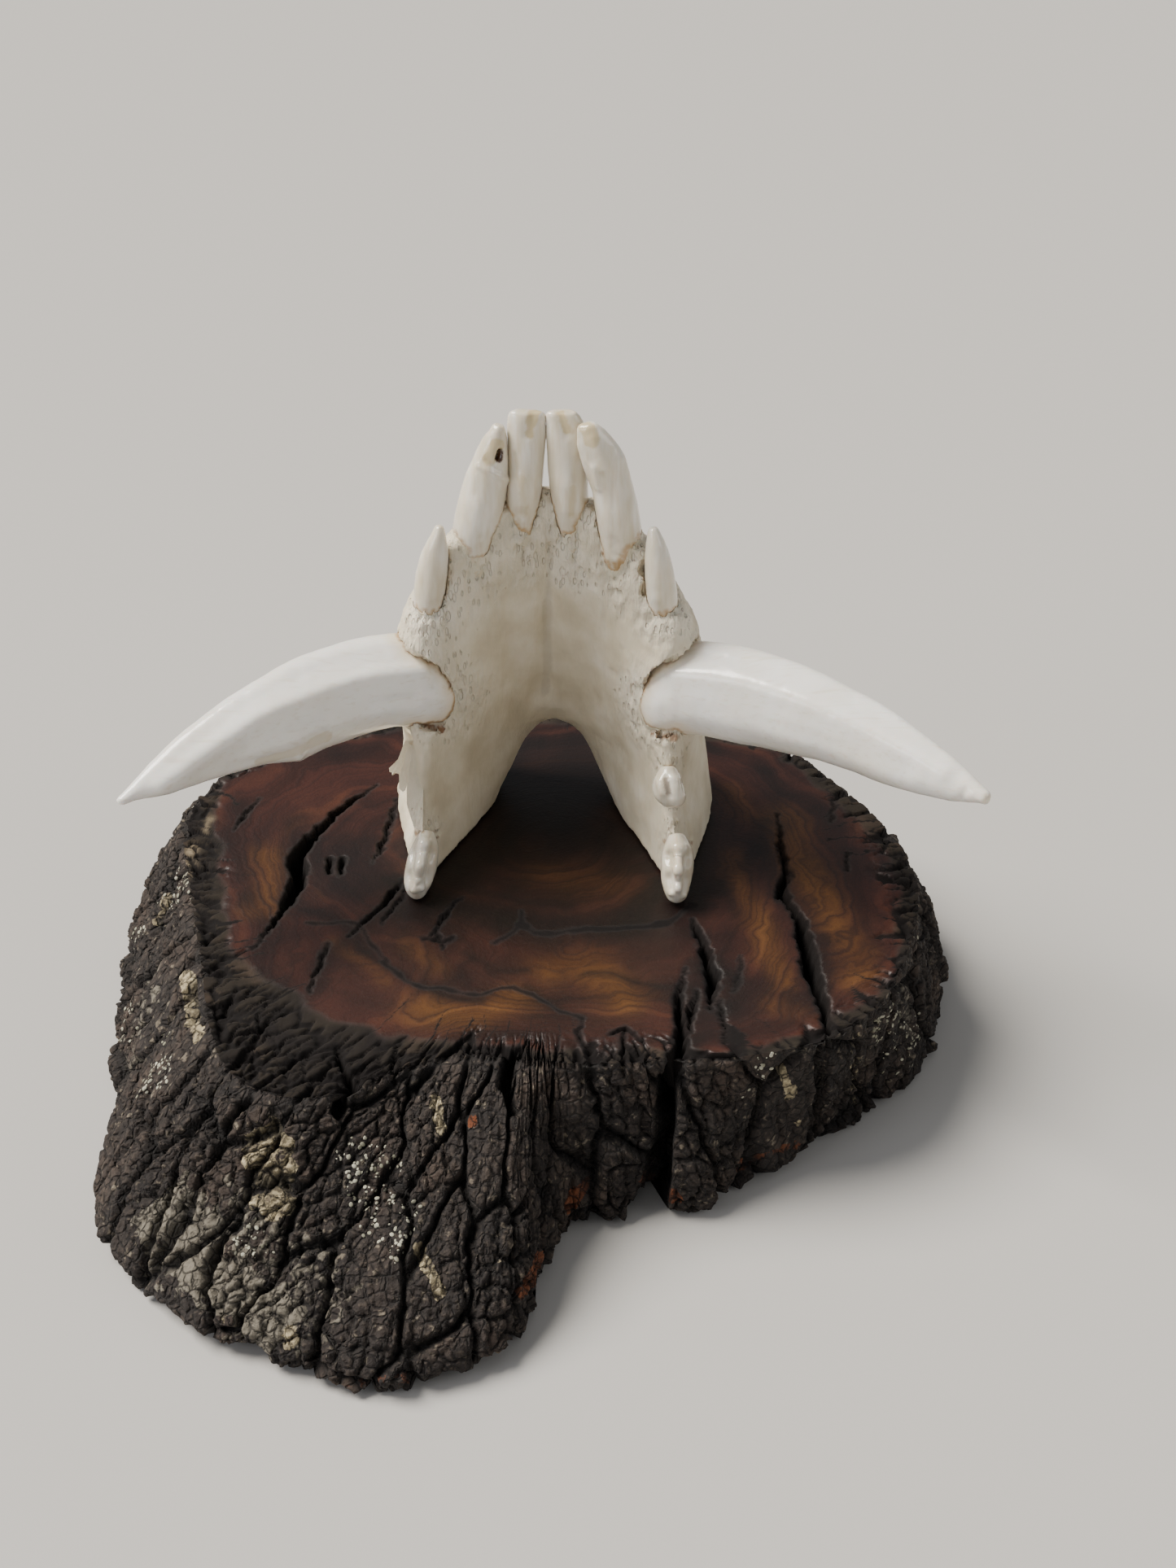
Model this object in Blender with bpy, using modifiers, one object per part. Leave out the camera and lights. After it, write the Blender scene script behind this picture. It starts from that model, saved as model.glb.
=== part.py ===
"""Wild boar tusks in the front of the lower jaw, mounted on a slab of heartwood.

The slab lies on its sawn underside at z = 0. The jaw stands on its two sawn ends
with the incisors up, leaning back, and its tongue side faces the front (-Y).
Metres, +Z up. Left and right are the animal's own, with the left at -X.
"""

import math

import bmesh
import bpy
import numpy as np
from mathutils import Vector, noise

MM = 0.001

# Driving dimensions, in millimetres and degrees
SLAB_THICKNESS = 36.0
SLAB_SIDES = 90
BARK_LUMP = 1.5
BARK_LUMP_SIZE = 13.0
JAW_FOOT = (4.6, 22.0)
JAW_LEAN = 14.0
JAW_YAW = -2.0
JAW_ROLL = -0.6
GAP = 0.3
SOCKET_GAP = 0.35
TUSK_GAP = 0.5
SAW_SIZE = (0.12, 0.16, 0.04)

# Outline of the sanded top, anticlockwise seen from above, from the right
TOP_OUTLINE = [
    (86, 17), (85, 33), (80, 47), (71, 60), (58, 74), (40, 82), (5, 87), (-30, 84),
    (-56, 76), (-73, 62), (-79, 46), (-75, 24), (-69, -2), (-63, -28), (-55, -41),
    (-40, -45), (-26, -38), (-13, -32), (10, -35), (34, -34), (54, -31), (68, -24),
    (79, -8),
]

# Outline of the foot of the bark, where it spreads widest
FOOT_OUTLINE = [
    (95, 24), (94, 44), (86, 65), (69, 80), (42, 87), (5, 90), (-32, 88), (-66, 80),
    (-88, 63), (-95, 42), (-93, 12), (-89, -22), (-87, -50), (-80, -61), (-70, -70),
    (-60, -79), (-44, -84), (-32, -91), (-19, -89), (-6, -84), (1, -75), (4, -62),
    (7, -51), (13, -40), (21, -40), (33, -44), (42, -40), (47, -31), (58, -27),
    (73, -14), (83, -7), (91, 6),
]

# Height up the side of the slab, and how far the bark has spread there
BARK_LEVELS = [
    (0.0, 0.95), (1.5, 0.99), (6.0, 1.0), (11.0, 0.9), (16.0, 0.75), (21.0, 0.58),
    (26.0, 0.4), (30.5, 0.24), (34.0, 0.1), (36.0, 0.0),
]

# Drying cracks in the top: points, the width at each, and the depth
CRACKS = {
    "left": (
        [(-38, 58), (-44, 50), (-49, 41), (-52, 30), (-52, 18), (-57, 2)],
        [0.4, 1.6, 2.6, 4.0, 2.6, 0.4], 10,
    ),
    "right": (
        [(57, 48), (57, 30), (56, 20), (60, 8), (61, -10), (63, -29)],
        [0.4, 1.2, 2.6, 2.2, 2.6, 0.4], 11,
    ),
    "front_ray": (
        [(36, 11), (38, 0), (39.5, -10), (38.5, -19)],
        [0.4, 1.8, 2.2, 0.4], 9,
    ),
    "front_split": (
        [(34, -6), (32, -19), (32.5, -28), (30, -37), (27, -46)],
        [0.4, 1.6, 2.2, 3.4, 4.5], 15,
    ),
}

# The split runs out through the bark as an open notch down to the ground
NOTCH = (
    [(31.5, -27), (29.5, -34), (26, -40), (20, -56)],
    [1.2, 3.6, 7.5, 16.0],
)

# Half sections of the jaw bone, each at a height along its own axis. A section
# runs from the middle of the tongue side over the tooth row to the middle of the
# chin side. Below the arch its two ends face each other across one leg.
LEG_SECTIONS = [
    (-12, [(22, 18), (22.5, 12), (24, 6), (26.5, 1), (29, -1.5), (31, 4), (34.5, 18),
           (37, 31), (34.5, 41), (29, 45), (24, 42), (21, 32)]),
    (-3, [(18, 25), (20, 17), (23, 9), (26.2, 1.8), (29, -1.6), (31.2, 4.5), (34.8, 19),
          (37.2, 32), (34.5, 42), (28.5, 45.5), (22.5, 43), (18, 36)]),
    (5, [(14.8, 28), (18, 20), (22.3, 10.5), (25.8, 2.2), (28.8, -1.5), (31, 4.5),
         (34.7, 19), (37.5, 32), (34.5, 42), (28, 45.5), (20.5, 43.5), (15.3, 36.5)]),
    (12, [(11.2, 30.5), (15.5, 23), (21.3, 12), (25.3, 2.7), (28.2, -1), (30, 4), (34, 18),
          (37, 31), (34.5, 41), (28, 45), (19, 44.5), (12.4, 38)]),
    (19, [(7.5, 32), (13.5, 25), (20.8, 13), (25, 3), (27.6, -0.6), (29.3, 4), (33.2, 17),
          (36, 30), (34, 40), (27, 44.5), (16.5, 45), (8.6, 41)]),
    (24.5, [(4.4, 32), (12.5, 25.5), (20.3, 13), (25, 2.5), (27.5, -0.5), (29, 4),
            (32.8, 16), (35.5, 29), (33, 39), (26, 43.5), (15, 44.5), (6, 42.5)]),
]
SYMPHYSIS_SECTIONS = [
    (28, [(0, 32), (10, 25), (19.5, 12.5), (24.8, 2), (27.5, -0.5), (29.5, 4),
          (33, 16), (35, 28), (32, 38), (25, 42), (13, 43.5), (0, 43)]),
    (36, [(0, 27.5), (9, 22.5), (17, 11.5), (22, 2), (25.5, -1.8), (31, 1.5),
          (34.5, 12), (34.5, 24), (31, 33), (24, 38.5), (12, 41), (0, 41)]),
    (47, [(0, 21), (9, 17.5), (16, 9), (20.6, 0.6), (23.6, -2.6), (27, 2.5),
          (34, 9), (34, 19), (29.5, 28.5), (22, 34), (11, 37), (0, 37)]),
    (57, [(0, 16.5), (9, 13.5), (16.5, 6.5), (23, -0.4), (28, -2.6), (33, 1),
          (34, 8), (32, 16), (27, 24), (20, 29.5), (10, 32.5), (0, 33)]),
    (66, [(0, 12), (9, 9.5), (16, 4.5), (21.5, 0.8), (25.5, -0.2), (28.6, 2.5),
          (29.4, 8), (27.5, 14.5), (23, 20.5), (17, 25), (9, 28), (0, 28.5)]),
    (74, [(0, 8.5), (8, 6.5), (14.5, 3), (18.5, 1), (21.5, 1.6), (24, 4.5),
          (24.5, 8.5), (22.5, 13), (18.5, 17.5), (13, 21), (7, 23), (0, 23.5)]),
    (81, [(0, 6), (6.5, 4.5), (12, 2.5), (16.2, 1.8), (19, 3), (20.5, 5.5),
          (19.8, 9), (17.5, 12.5), (14, 15.5), (10, 17.5), (5, 18.5), (0, 19)]),
]
# The bone's upper end, with the height of each point
SYMPHYSIS_RIM = [
    (0, 5, 92), (5.5, 4.4, 87.5), (10, 3.7, 86.5), (13.5, 4, 84.5), (16, 5, 83.5),
    (17, 6.5, 83), (16.5, 8.5, 83.5), (14.5, 10.5, 84.5), (11.5, 12, 86),
    (8, 13, 87), (4, 13.5, 88), (0, 13.5, 88.5),
]

# Thin flakes where the outer wall of the left leg is broken: root, middle and tip
FLAKES = [
    [(-29, 28, 23), (-35.5, 30, 17), (-39.5, 31, 11)],
    [(-29, 31, 17), (-35.5, 33, 11), (-38, 34, 7)],
    [(-29, 20, 15), (-34.5, 23, 7), (-36, 24, 2.5)],
]

# Tusks, along the axis from the root to the tip: point, width and thickness
TUSKS = {
    "left": [
        ((-20, 18.2, 43.2), 9, 4), ((-22.8, 13.6, 44.2), 15.6, 9),
        ((-25.6, 9.2, 45), 19, 12.6), ((-29.5, 6, 45.8), 20.2, 14),
        ((-35, 3.4, 46.2), 20.4, 14.2), ((-41, 0.6, 45.9), 20.3, 14),
        ((-48, -3.2, 44.9), 19.8, 13.4), ((-55, -7.2, 43.6), 18.8, 12.6),
        ((-62, -11.6, 41.9), 16.4, 11.2), ((-69, -16.2, 39.6), 13.2, 9.4),
        ((-75, -20.6, 37.1), 10, 7.4), ((-81, -25.2, 34), 6.2, 5),
        ((-86.6, -29.8, 30.8), 1.4, 1.4),
    ],
    "right": [
        ((20, 18.2, 43.2), 9, 4), ((22.8, 13.6, 44.3), 15.6, 9),
        ((25.6, 9.2, 45.1), 19, 12.6), ((29.5, 6.3, 45.8), 20.2, 14),
        ((35, 3.8, 46.1), 20.4, 14.2), ((41, 1, 46), 20.2, 14),
        ((49, -3, 45.6), 19.4, 13.2), ((57, -7.8, 44.3), 18, 12.2),
        ((64, -12, 42.6), 16, 11), ((71, -16.8, 40.6), 13.6, 9.6),
        ((78, -22, 38.8), 10.8, 7.8), ((84.5, -27, 37.2), 7.2, 5.6),
        ((90.6, -32.2, 35.6), 2.6, 2.4),
    ],
}
# Mouth of a tusk's socket on the tongue side, where the tooth row is open over it
MOUTH = [
    ((21.8, 5, 38.5), 4, 3), ((23.4, 2.4, 40.8), 12, 7), ((26.4, -0.4, 43.3), 17.6, 10),
    ((30.4, -2.6, 45.3), 20.4, 12), ((36, -5, 46), 21, 13), ((42, -8, 46), 21, 13),
]

# Teeth, as points along the axis with width and thickness, given on the right.
# Those of both sides mirror each other.
LEFT = ("left",)
RIGHT = ("right",)
TEETH = [
    ("incisor_1", LEFT + RIGHT, [
        ((5.6, 14.5, 70), 4.6, 5.6), ((5.4, 11.8, 76.5), 6.4, 7.4), ((5, 8.9, 81.5), 7, 7.8),
        ((4.7, 7, 87), 7.1, 7.4), ((4.3, 5.4, 93), 7.3, 6.8), ((4.1, 4.2, 99), 7.4, 5.4),
        ((4, 3.3, 103.5), 7.2, 4), ((3.9, 2.9, 105.8), 5.8, 2.6),
    ]),
    ("incisor_2", LEFT, [
        ((18.2, 15.5, 61), 5, 6), ((16.9, 10, 69), 7.6, 8), ((15.6, 6.8, 76.5), 8.4, 8.4),
        ((14.2, 4.8, 84.5), 8.6, 8), ((12.6, 3.4, 92), 8.3, 6.8), ((11.3, 2.7, 98.5), 6.6, 5.2),
        ((10.3, 2.4, 103), 2.8, 2.6),
    ]),
    ("incisor_2", RIGHT, [
        ((18.2, 15.5, 61), 5, 6), ((16.9, 10, 69), 7.6, 8), ((15.7, 6.8, 76.5), 8.6, 8.4),
        ((14.5, 4.4, 84.5), 9.2, 8), ((13.3, 2.4, 92), 9.2, 6.4), ((11.9, 0.6, 98.5), 7.6, 4.6),
        ((10.5, -0.4, 104), 4, 2.6),
    ]),
    ("incisor_3", LEFT + RIGHT, [
        ((25.8, 8.2, 58), 4, 5), ((25.2, 5.4, 61), 6, 6.4), ((24.4, 2.8, 66), 6.9, 6.4),
        ((23.3, 1.3, 73), 6.4, 5.4), ((22.4, 0.6, 79), 4.4, 3.8), ((22, 0.5, 82), 1.8, 1.8),
    ]),
    ("premolar_2", LEFT + RIGHT, [
        ((28.2, -2, 1.2), 4.8, 8.4), ((28.4, -3.1, 3.6), 6.8, 11.2),
        ((28.5, -3.1, 7), 7, 11.2), ((28.3, -1.8, 10.4), 6, 8.4), ((28, -0.4, 13), 3, 4.2),
    ]),
    ("premolar_1", RIGHT, [
        ((25.7, 0.4, 20.6), 3, 4), ((25.8, -0.4, 23), 6.4, 6.6),
        ((25.9, -0.4, 26), 6.2, 6.8), ((25.8, 0.5, 28.6), 3, 3.8),
    ]),
]

SLAB_COLOUR = "5a2c1e"
BONE_COLOUR = "e4dccb"
ENAMEL_COLOUR = "efece4"


def linear(value):
    """The linear colour of an sRGB hex value."""
    channels = [int(value[i:i + 2], 16) / 255 for i in (0, 2, 4)]
    return [
        c / 12.92 if c <= 0.04045 else ((c + 0.055) / 1.055) ** 2.4 for c in channels
    ] + [1.0]


def make_material(name, colour, roughness):
    material = bpy.data.materials.new(name)
    material.use_nodes = True
    shader = material.node_tree.nodes["Principled BSDF"]
    shader.inputs["Base Color"].default_value = linear(colour)
    shader.inputs["Roughness"].default_value = roughness
    shader.inputs["Metallic"].default_value = 0.0
    return material


def make_collection(name):
    collection = bpy.data.collections.new(name)
    bpy.context.scene.collection.children.link(collection)
    return collection


def add_object(name, mesh, collection, material=None, parent=None):
    thing = bpy.data.objects.new(name, mesh)
    collection.objects.link(thing)
    thing.parent = parent
    if material:
        mesh.materials.append(material)
        mesh.shade_smooth()
        mesh.set_sharp_from_angle(angle=math.radians(50))
    return thing


def add_cutter(name, mesh, collection, parent=None):
    cutter = add_object(name, mesh, collection, parent=parent)
    cutter.hide_render = True
    cutter.display_type = "WIRE"
    return cutter


def add_boolean(thing, cutter, operation):
    modifier = thing.modifiers.new(cutter.name, "BOOLEAN")
    modifier.operation = operation
    modifier.object = cutter
    modifier.solver = "EXACT"


def smooth_through(points, count, closed=False):
    """Points along a smooth curve through the given points (Catmull-Rom)."""
    points = np.array(points, float)
    size = len(points)
    spans = size if closed else size - 1
    out = []
    for t in np.linspace(0, spans, count, endpoint=not closed):
        i = min(int(t), spans - 1)
        f = t - i
        ids = [i + k for k in (-1, 0, 1, 2)]
        ids = [j % size if closed else min(max(j, 0), size - 1) for j in ids]
        a, b, c, d = points[ids]
        out.append(
            b + 0.5 * f * (c - a + f * (2 * a - 5 * b + 4 * c - d + f * (3 * b - a - 3 * c + d)))
        )
    return np.array(out)


def loft_mesh(name, rings):
    """A closed mesh through rings of as many points each, given in millimetres."""
    bm = bmesh.new()
    verts = [[bm.verts.new(Vector(p) * MM) for p in ring] for ring in rings]
    for low, high in zip(verts, verts[1:]):
        for i in range(len(low)):
            j = (i + 1) % len(low)
            bm.faces.new((low[i], low[j], high[j], high[i]))
    bm.faces.new(verts[0][::-1])
    bm.faces.new(verts[-1])
    bmesh.ops.recalc_face_normals(bm, faces=bm.faces)
    mesh = bpy.data.meshes.new(name)
    bm.to_mesh(mesh)
    bm.free()
    return mesh


def slab_radii(outline):
    """Distance from the slab's middle to an outline, at evenly spaced angles."""
    curve = smooth_through(outline, 720, closed=True)
    angle = np.arctan2(curve[:, 1], curve[:, 0])
    order = np.argsort(angle)
    radius = np.hypot(curve[:, 0], curve[:, 1])
    steps = np.arange(SLAB_SIDES) * 2 * math.pi / SLAB_SIDES - math.pi
    return steps, np.interp(steps, angle[order], radius[order], period=2 * math.pi)


def make_slab_mesh():
    """The slab as rings from its underside to its rim, lumpy where the bark is."""
    angles, top = slab_radii(TOP_OUTLINE)
    foot = slab_radii(FOOT_OUTLINE)[1]
    rings = []
    for height, spread in BARK_LEVELS:
        bark = math.sin(math.pi * min(height / SLAB_THICKNESS, 1) ** 0.7)
        ring = []
        for angle, inner, outer in zip(angles, top, foot):
            radius = inner + (outer - inner) * spread
            x = radius * math.cos(angle)
            y = radius * math.sin(angle)
            lump = noise.noise(Vector((x, y, height)) / BARK_LUMP_SIZE)
            radius += BARK_LUMP * bark * lump
            ring.append((radius * math.cos(angle), radius * math.sin(angle), height))
        rings.append(ring)
    return loft_mesh("wood_slab", rings)


def make_crack_mesh(name, points, widths, low, high):
    """A V-shaped wedge along a wandering line, narrow at the bottom."""
    count = 3 * len(points)
    path = smooth_through(points, count)
    width = smooth_through([(w,) for w in widths], count)[:, 0]
    along = np.gradient(path, axis=0)
    along /= np.linalg.norm(along, axis=1)[:, None]
    rings = []
    for k in range(count):
        across = np.array([-along[k][1], along[k][0]])
        half = max(width[k], 0.3) / 2
        wander = across * (half * 0.5 * (-1) ** k if 0 < k < count - 1 else 0)
        ring = []
        for side, z, share in ((1, high, 1.0), (-1, high, 1.0), (-1, low, 0.4), (1, low, 0.4)):
            x, y = path[k] + wander + across * side * half * share
            ring.append((x, y, z))
        rings.append(ring)
    return loft_mesh(name, rings)


def make_slab(parts, cutters):
    slab = add_object(
        "wood_slab", make_slab_mesh(), parts, make_material("oiled_heartwood", SLAB_COLOUR, 0.35)
    )
    above = SLAB_THICKNESS + 2
    for name, (points, widths, depth) in CRACKS.items():
        mesh = make_crack_mesh("crack_" + name, points, widths, SLAB_THICKNESS - depth, above)
        add_boolean(slab, add_cutter("crack_" + name, mesh, cutters), "DIFFERENCE")
    mesh = make_crack_mesh("notch", *NOTCH, -2, above)
    add_boolean(slab, add_cutter("notch", mesh, cutters), "DIFFERENCE")
    return slab


def make_jaw_cage():
    """The left-open half of the jaw bone as a coarse cage, for a mirror to close."""
    bm = bmesh.new()
    sections = [
        [(x, y, z) for x, y in points] for z, points in LEG_SECTIONS + SYMPHYSIS_SECTIONS
    ]
    sections.append(SYMPHYSIS_RIM)
    rings = [[bm.verts.new(Vector(p) * MM) for p in section] for section in sections]
    last = len(rings[0]) - 1
    for k, (low, high) in enumerate(zip(rings, rings[1:])):
        for i in range(last):
            bm.faces.new((low[i], low[i + 1], high[i + 1], high[i]))
        if k < len(LEG_SECTIONS):
            bm.faces.new((low[last], low[0], high[0], high[last]))
    for ring in (rings[0], rings[-1]):
        for i in range(last // 2):
            bm.faces.new((ring[i], ring[i + 1], ring[last - i - 1], ring[last - i]))
    bmesh.ops.recalc_face_normals(bm, faces=bm.faces)
    mesh = bpy.data.meshes.new("jaw_bone")
    bm.to_mesh(mesh)
    bm.free()
    return mesh


def make_horn_mesh(name, stations, sides, rounds, across, ridge, grow=0.0):
    """A horn-shaped solid along an axis, from its root to its tip.

    stations are (point, width, thickness); across is the direction of the width,
    and ridge lifts three soft edges, one of them along the front.
    """
    rows = smooth_through([(*p, w, t) for p, w, t in stations], rounds)
    path, width, thick = rows[:, :3], rows[:, 3], rows[:, 4]
    along = np.gradient(path, axis=0)
    along /= np.linalg.norm(along, axis=1)[:, None]
    path[0] -= along[0] * grow
    rings = []
    for k in range(rounds):
        wide = np.array(across, float)
        wide -= wide @ along[k] * along[k]
        wide /= np.linalg.norm(wide)
        front = np.cross(along[k], wide)
        front *= -np.sign(front[1])
        ring = []
        for i in range(sides):
            angle = 2 * math.pi * i / sides
            reach = 1 + ridge * math.cos(3 * angle)
            out = (thick[k] / 2 * reach + grow) * math.cos(angle)
            over = (width[k] / 2 * reach + grow) * math.sin(angle)
            ring.append(path[k] + front * out + wide * over)
        rings.append(ring)
    return loft_mesh(name, rings)


def mirrored(stations, side):
    """Right-hand stations, turned over to the left where side is -1."""
    return [((side * p[0], p[1], p[2]), w, t) for p, w, t in stations]


def make_jaw_bone(parts, cutters, place, sockets):
    jaw = add_object(
        "jaw_bone", make_jaw_cage(), parts, make_material("bleached_bone", BONE_COLOUR, 0.6), place
    )
    mirror = jaw.modifiers.new("halves", "MIRROR")
    mirror.merge_threshold = 0.0001
    smooth = jaw.modifiers.new("round", "SUBSURF")
    smooth.levels = 1
    smooth.render_levels = 1
    for k, points in enumerate(FLAKES):
        stations = list(zip(points, (7.0, 4.5, 0.8), (3.4, 2.0, 0.6)))
        mesh = make_horn_mesh(f"flake_{k}", stations, 8, 5, (0, 1, 0), 0)
        add_boolean(jaw, add_cutter(f"flake_{k}", mesh, cutters, place), "UNION")
    bm = bmesh.new()
    bmesh.ops.create_cube(bm, size=1)
    bmesh.ops.scale(bm, vec=SAW_SIZE, verts=bm.verts)
    mesh = bpy.data.meshes.new("saw")
    bm.to_mesh(mesh)
    bm.free()
    saw = add_cutter("saw", mesh, cutters)
    cut_height = (SLAB_THICKNESS + GAP) * MM
    saw.location = (JAW_FOOT[0] * MM, JAW_FOOT[1] * MM, cut_height - SAW_SIZE[2] / 2)
    add_boolean(jaw, saw, "DIFFERENCE")
    for socket in sockets:
        add_boolean(jaw, socket, "DIFFERENCE")
    return jaw


def make_tusks_and_teeth(parts, cutters, place):
    """The tusks and teeth, and a socket cutter for each, which is a little larger."""
    ivory = make_material("tusk_ivory", ENAMEL_COLOUR, 0.3)
    enamel = make_material("tooth_enamel", ENAMEL_COLOUR, 0.25)
    sockets = []

    def add_tooth(name, stations, sides, rounds, across, ridge, gap, material):
        mesh = make_horn_mesh(name, stations, sides, rounds, across, ridge)
        add_object(name, mesh, parts, material, place)
        mesh = make_horn_mesh(name + "_socket", stations, sides, rounds, across, ridge, gap)
        sockets.append(add_cutter(name + "_socket", mesh, cutters, place))

    for side, stations in TUSKS.items():
        add_tooth("tusk_" + side, stations, 14, 20, (0, 0, 1), 0.05, TUSK_GAP, ivory)
        turned = mirrored(MOUTH, -1 if side == "left" else 1)
        mesh = make_horn_mesh("mouth_" + side, turned, 12, 8, (0, 0, 1), 0)
        sockets.append(add_cutter("mouth_" + side, mesh, cutters, place))
    for kind, sides, stations in TEETH:
        for side in sides:
            turned = mirrored(stations, -1 if side == "left" else 1)
            name = f"{kind}_{side}"
            add_tooth(name, turned, 10, 10, (1, 0, 0), 0.03, SOCKET_GAP, enamel)
    return sockets


def main():
    for thing in list(bpy.data.objects):
        bpy.data.objects.remove(thing)
    parts = make_collection("mounted_boar_tusks")
    cutters = make_collection("cutters")
    make_slab(parts, cutters)
    place = bpy.data.objects.new("jaw_place", None)
    parts.objects.link(place)
    place.location = (JAW_FOOT[0] * MM, JAW_FOOT[1] * MM, SLAB_THICKNESS * MM)
    place.rotation_euler = [math.radians(a) for a in (-JAW_LEAN, JAW_ROLL, JAW_YAW)]
    sockets = make_tusks_and_teeth(parts, cutters, place)
    make_jaw_bone(parts, cutters, place, sockets)


main()
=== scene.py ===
# %% [markdown]
# # Wild boar tusks mounted on a slab of heartwood
# The real object is the front of a boar's lower jaw, with its tusks and front teeth
# in their sockets, standing on a cross-cut slab of dark red wood that kept its bark.
# The solids of every piece come with the frame. This lesson gives them the fine
# surface: pores and ragged sockets in the bone, ridges and wear on the teeth, drying
# cracks and growth bands in the wood, and plates and lichen on the bark.

import itertools
import math

import bmesh
import bpy
import numpy as np
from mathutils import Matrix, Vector
from mathutils.bvhtree import BVHTree
from mathutils.kdtree import KDTree


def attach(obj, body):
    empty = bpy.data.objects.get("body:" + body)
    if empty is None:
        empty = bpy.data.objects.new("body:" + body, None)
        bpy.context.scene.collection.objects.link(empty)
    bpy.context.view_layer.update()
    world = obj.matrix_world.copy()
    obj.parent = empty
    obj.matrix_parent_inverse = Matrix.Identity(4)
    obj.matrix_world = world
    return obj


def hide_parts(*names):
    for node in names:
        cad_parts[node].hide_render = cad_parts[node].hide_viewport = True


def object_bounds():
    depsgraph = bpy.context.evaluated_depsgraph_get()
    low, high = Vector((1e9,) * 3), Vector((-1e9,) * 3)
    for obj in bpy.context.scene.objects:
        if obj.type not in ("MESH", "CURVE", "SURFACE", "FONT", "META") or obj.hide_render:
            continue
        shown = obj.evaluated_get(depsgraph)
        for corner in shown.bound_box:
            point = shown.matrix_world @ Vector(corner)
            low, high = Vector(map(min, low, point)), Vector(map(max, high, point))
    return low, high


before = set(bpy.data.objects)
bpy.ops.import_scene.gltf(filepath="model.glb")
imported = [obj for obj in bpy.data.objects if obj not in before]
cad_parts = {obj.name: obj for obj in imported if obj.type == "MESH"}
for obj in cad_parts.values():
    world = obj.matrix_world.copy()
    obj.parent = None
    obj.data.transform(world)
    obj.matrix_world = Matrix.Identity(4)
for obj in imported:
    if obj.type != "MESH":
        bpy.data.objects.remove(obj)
cad_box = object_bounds()
MM = 0.001
print("pieces in the frame:", len(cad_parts))

# %% [markdown]
# Meshes are read and written as arrays of points in millimetres, because a whole
# surface is then shaped in a few lines. A copy of a solid is merged first: its faces
# come as loose triangles, and only a joined surface can be subdivided and smoothed.

# %% Points, attributes and copies
def points_of(mesh):
    flat = np.empty(len(mesh.vertices) * 3)
    mesh.vertices.foreach_get("co", flat)
    return flat.reshape(-1, 3) / MM


def normals_of(mesh):
    flat = np.empty(len(mesh.vertices) * 3)
    mesh.vertex_normals.foreach_get("vector", flat)
    return flat.reshape(-1, 3)


def put_points(mesh, points):
    mesh.vertices.foreach_set("co", (points * MM).ravel())
    mesh.update()


def put_attribute(mesh, name, values):
    layer = mesh.attributes.get(name) or mesh.attributes.new(name, "FLOAT", "POINT")
    layer.data.foreach_set("value", np.asarray(values, np.float32))


def new_object(name, mesh):
    thing = bpy.data.objects.new(name, mesh)
    bpy.context.scene.collection.objects.link(thing)
    mesh.shade_smooth()
    return thing


def merged_copy(node, name):
    """The solid of a node as one joined surface, with quads where they fit."""
    bm = bmesh.new()
    bm.from_mesh(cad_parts[node].data)
    bmesh.ops.remove_doubles(bm, verts=bm.verts, dist=0.000002)
    bmesh.ops.join_triangles(
        bm, faces=bm.faces, angle_face_threshold=0.7, angle_shape_threshold=0.9
    )
    mesh = bpy.data.meshes.new(name)
    bm.to_mesh(mesh)
    bm.free()
    return new_object(name, mesh)


def settle(thing):
    """Turns the modifiers of a piece into its plain mesh."""
    evaluated = thing.evaluated_get(bpy.context.evaluated_depsgraph_get())
    mesh = bpy.data.meshes.new_from_object(evaluated)
    thing.modifiers.clear()
    thing.data = mesh
    mesh.shade_smooth()
    return mesh


print("points in the jaw's solid:", len(points_of(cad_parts["jaw_bone"].data)))

# %% [markdown]
# Bone, bark and wood are never even, so nearly every step below adds some random
# relief. It has to come out the same each time, so the random number of each lattice
# corner is worked out from the corner's own position. Smooth steps between the corners
# make soft lumps, and a few sizes of lumps on top of each other look natural.

# %% Random relief
def lattice(x, y, z, seed):
    """A fixed random number from -1 to 1 for each lattice corner."""
    # The large numbers have no meaning of their own: they stir the corner's place.
    mixed = (x * 374761393 + y * 668265263 + z * 2147483647 + seed * 974711) & 0xFFFFFFFF
    mixed = ((mixed ^ (mixed >> 13)) * 1274126177) & 0xFFFFFFFF
    return ((mixed ^ (mixed >> 16)) & 0xFFFF) / 32767.5 - 1


def lumps(points, size, seed=0):
    """Smooth random heights from -1 to 1, with lumps of the given size."""
    place = np.asarray(points, float) / size
    corner = np.floor(place).astype(np.int64)
    part = place - corner
    part = part * part * (3 - 2 * part)
    total = 0
    for step in itertools.product((0, 1), repeat=3):
        share = np.prod(np.where(step, part, 1 - part), axis=1)
        total = total + share * lattice(*(corner + step).T, seed)
    return total


def rough(points, size, levels, seed=0):
    """Lumps of several sizes, each half as large and as high as the one before."""
    heights = [lumps(points, np.array(size) / 2**k, seed + k) / 2**k for k in range(levels)]
    return sum(heights)


def ramp(values, low, high):
    """0 below low, 1 above high, and a smooth step between them."""
    part = np.clip((values - low) / (high - low), 0, 1)
    return part * part * (3 - 2 * part)


print("relief at one point:", round(float(rough(np.array([[3.0, 2.0, 1.0]]), 5, 3)[0]), 3))

# %% [markdown]
# Many details are named by their place in the camera's picture, in pixels from its upper
# left corner, because that is where they can be measured. So the camera's own lines of
# sight come first. The camera stands in front, a little higher than the mount, and looks
# down at it.

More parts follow.
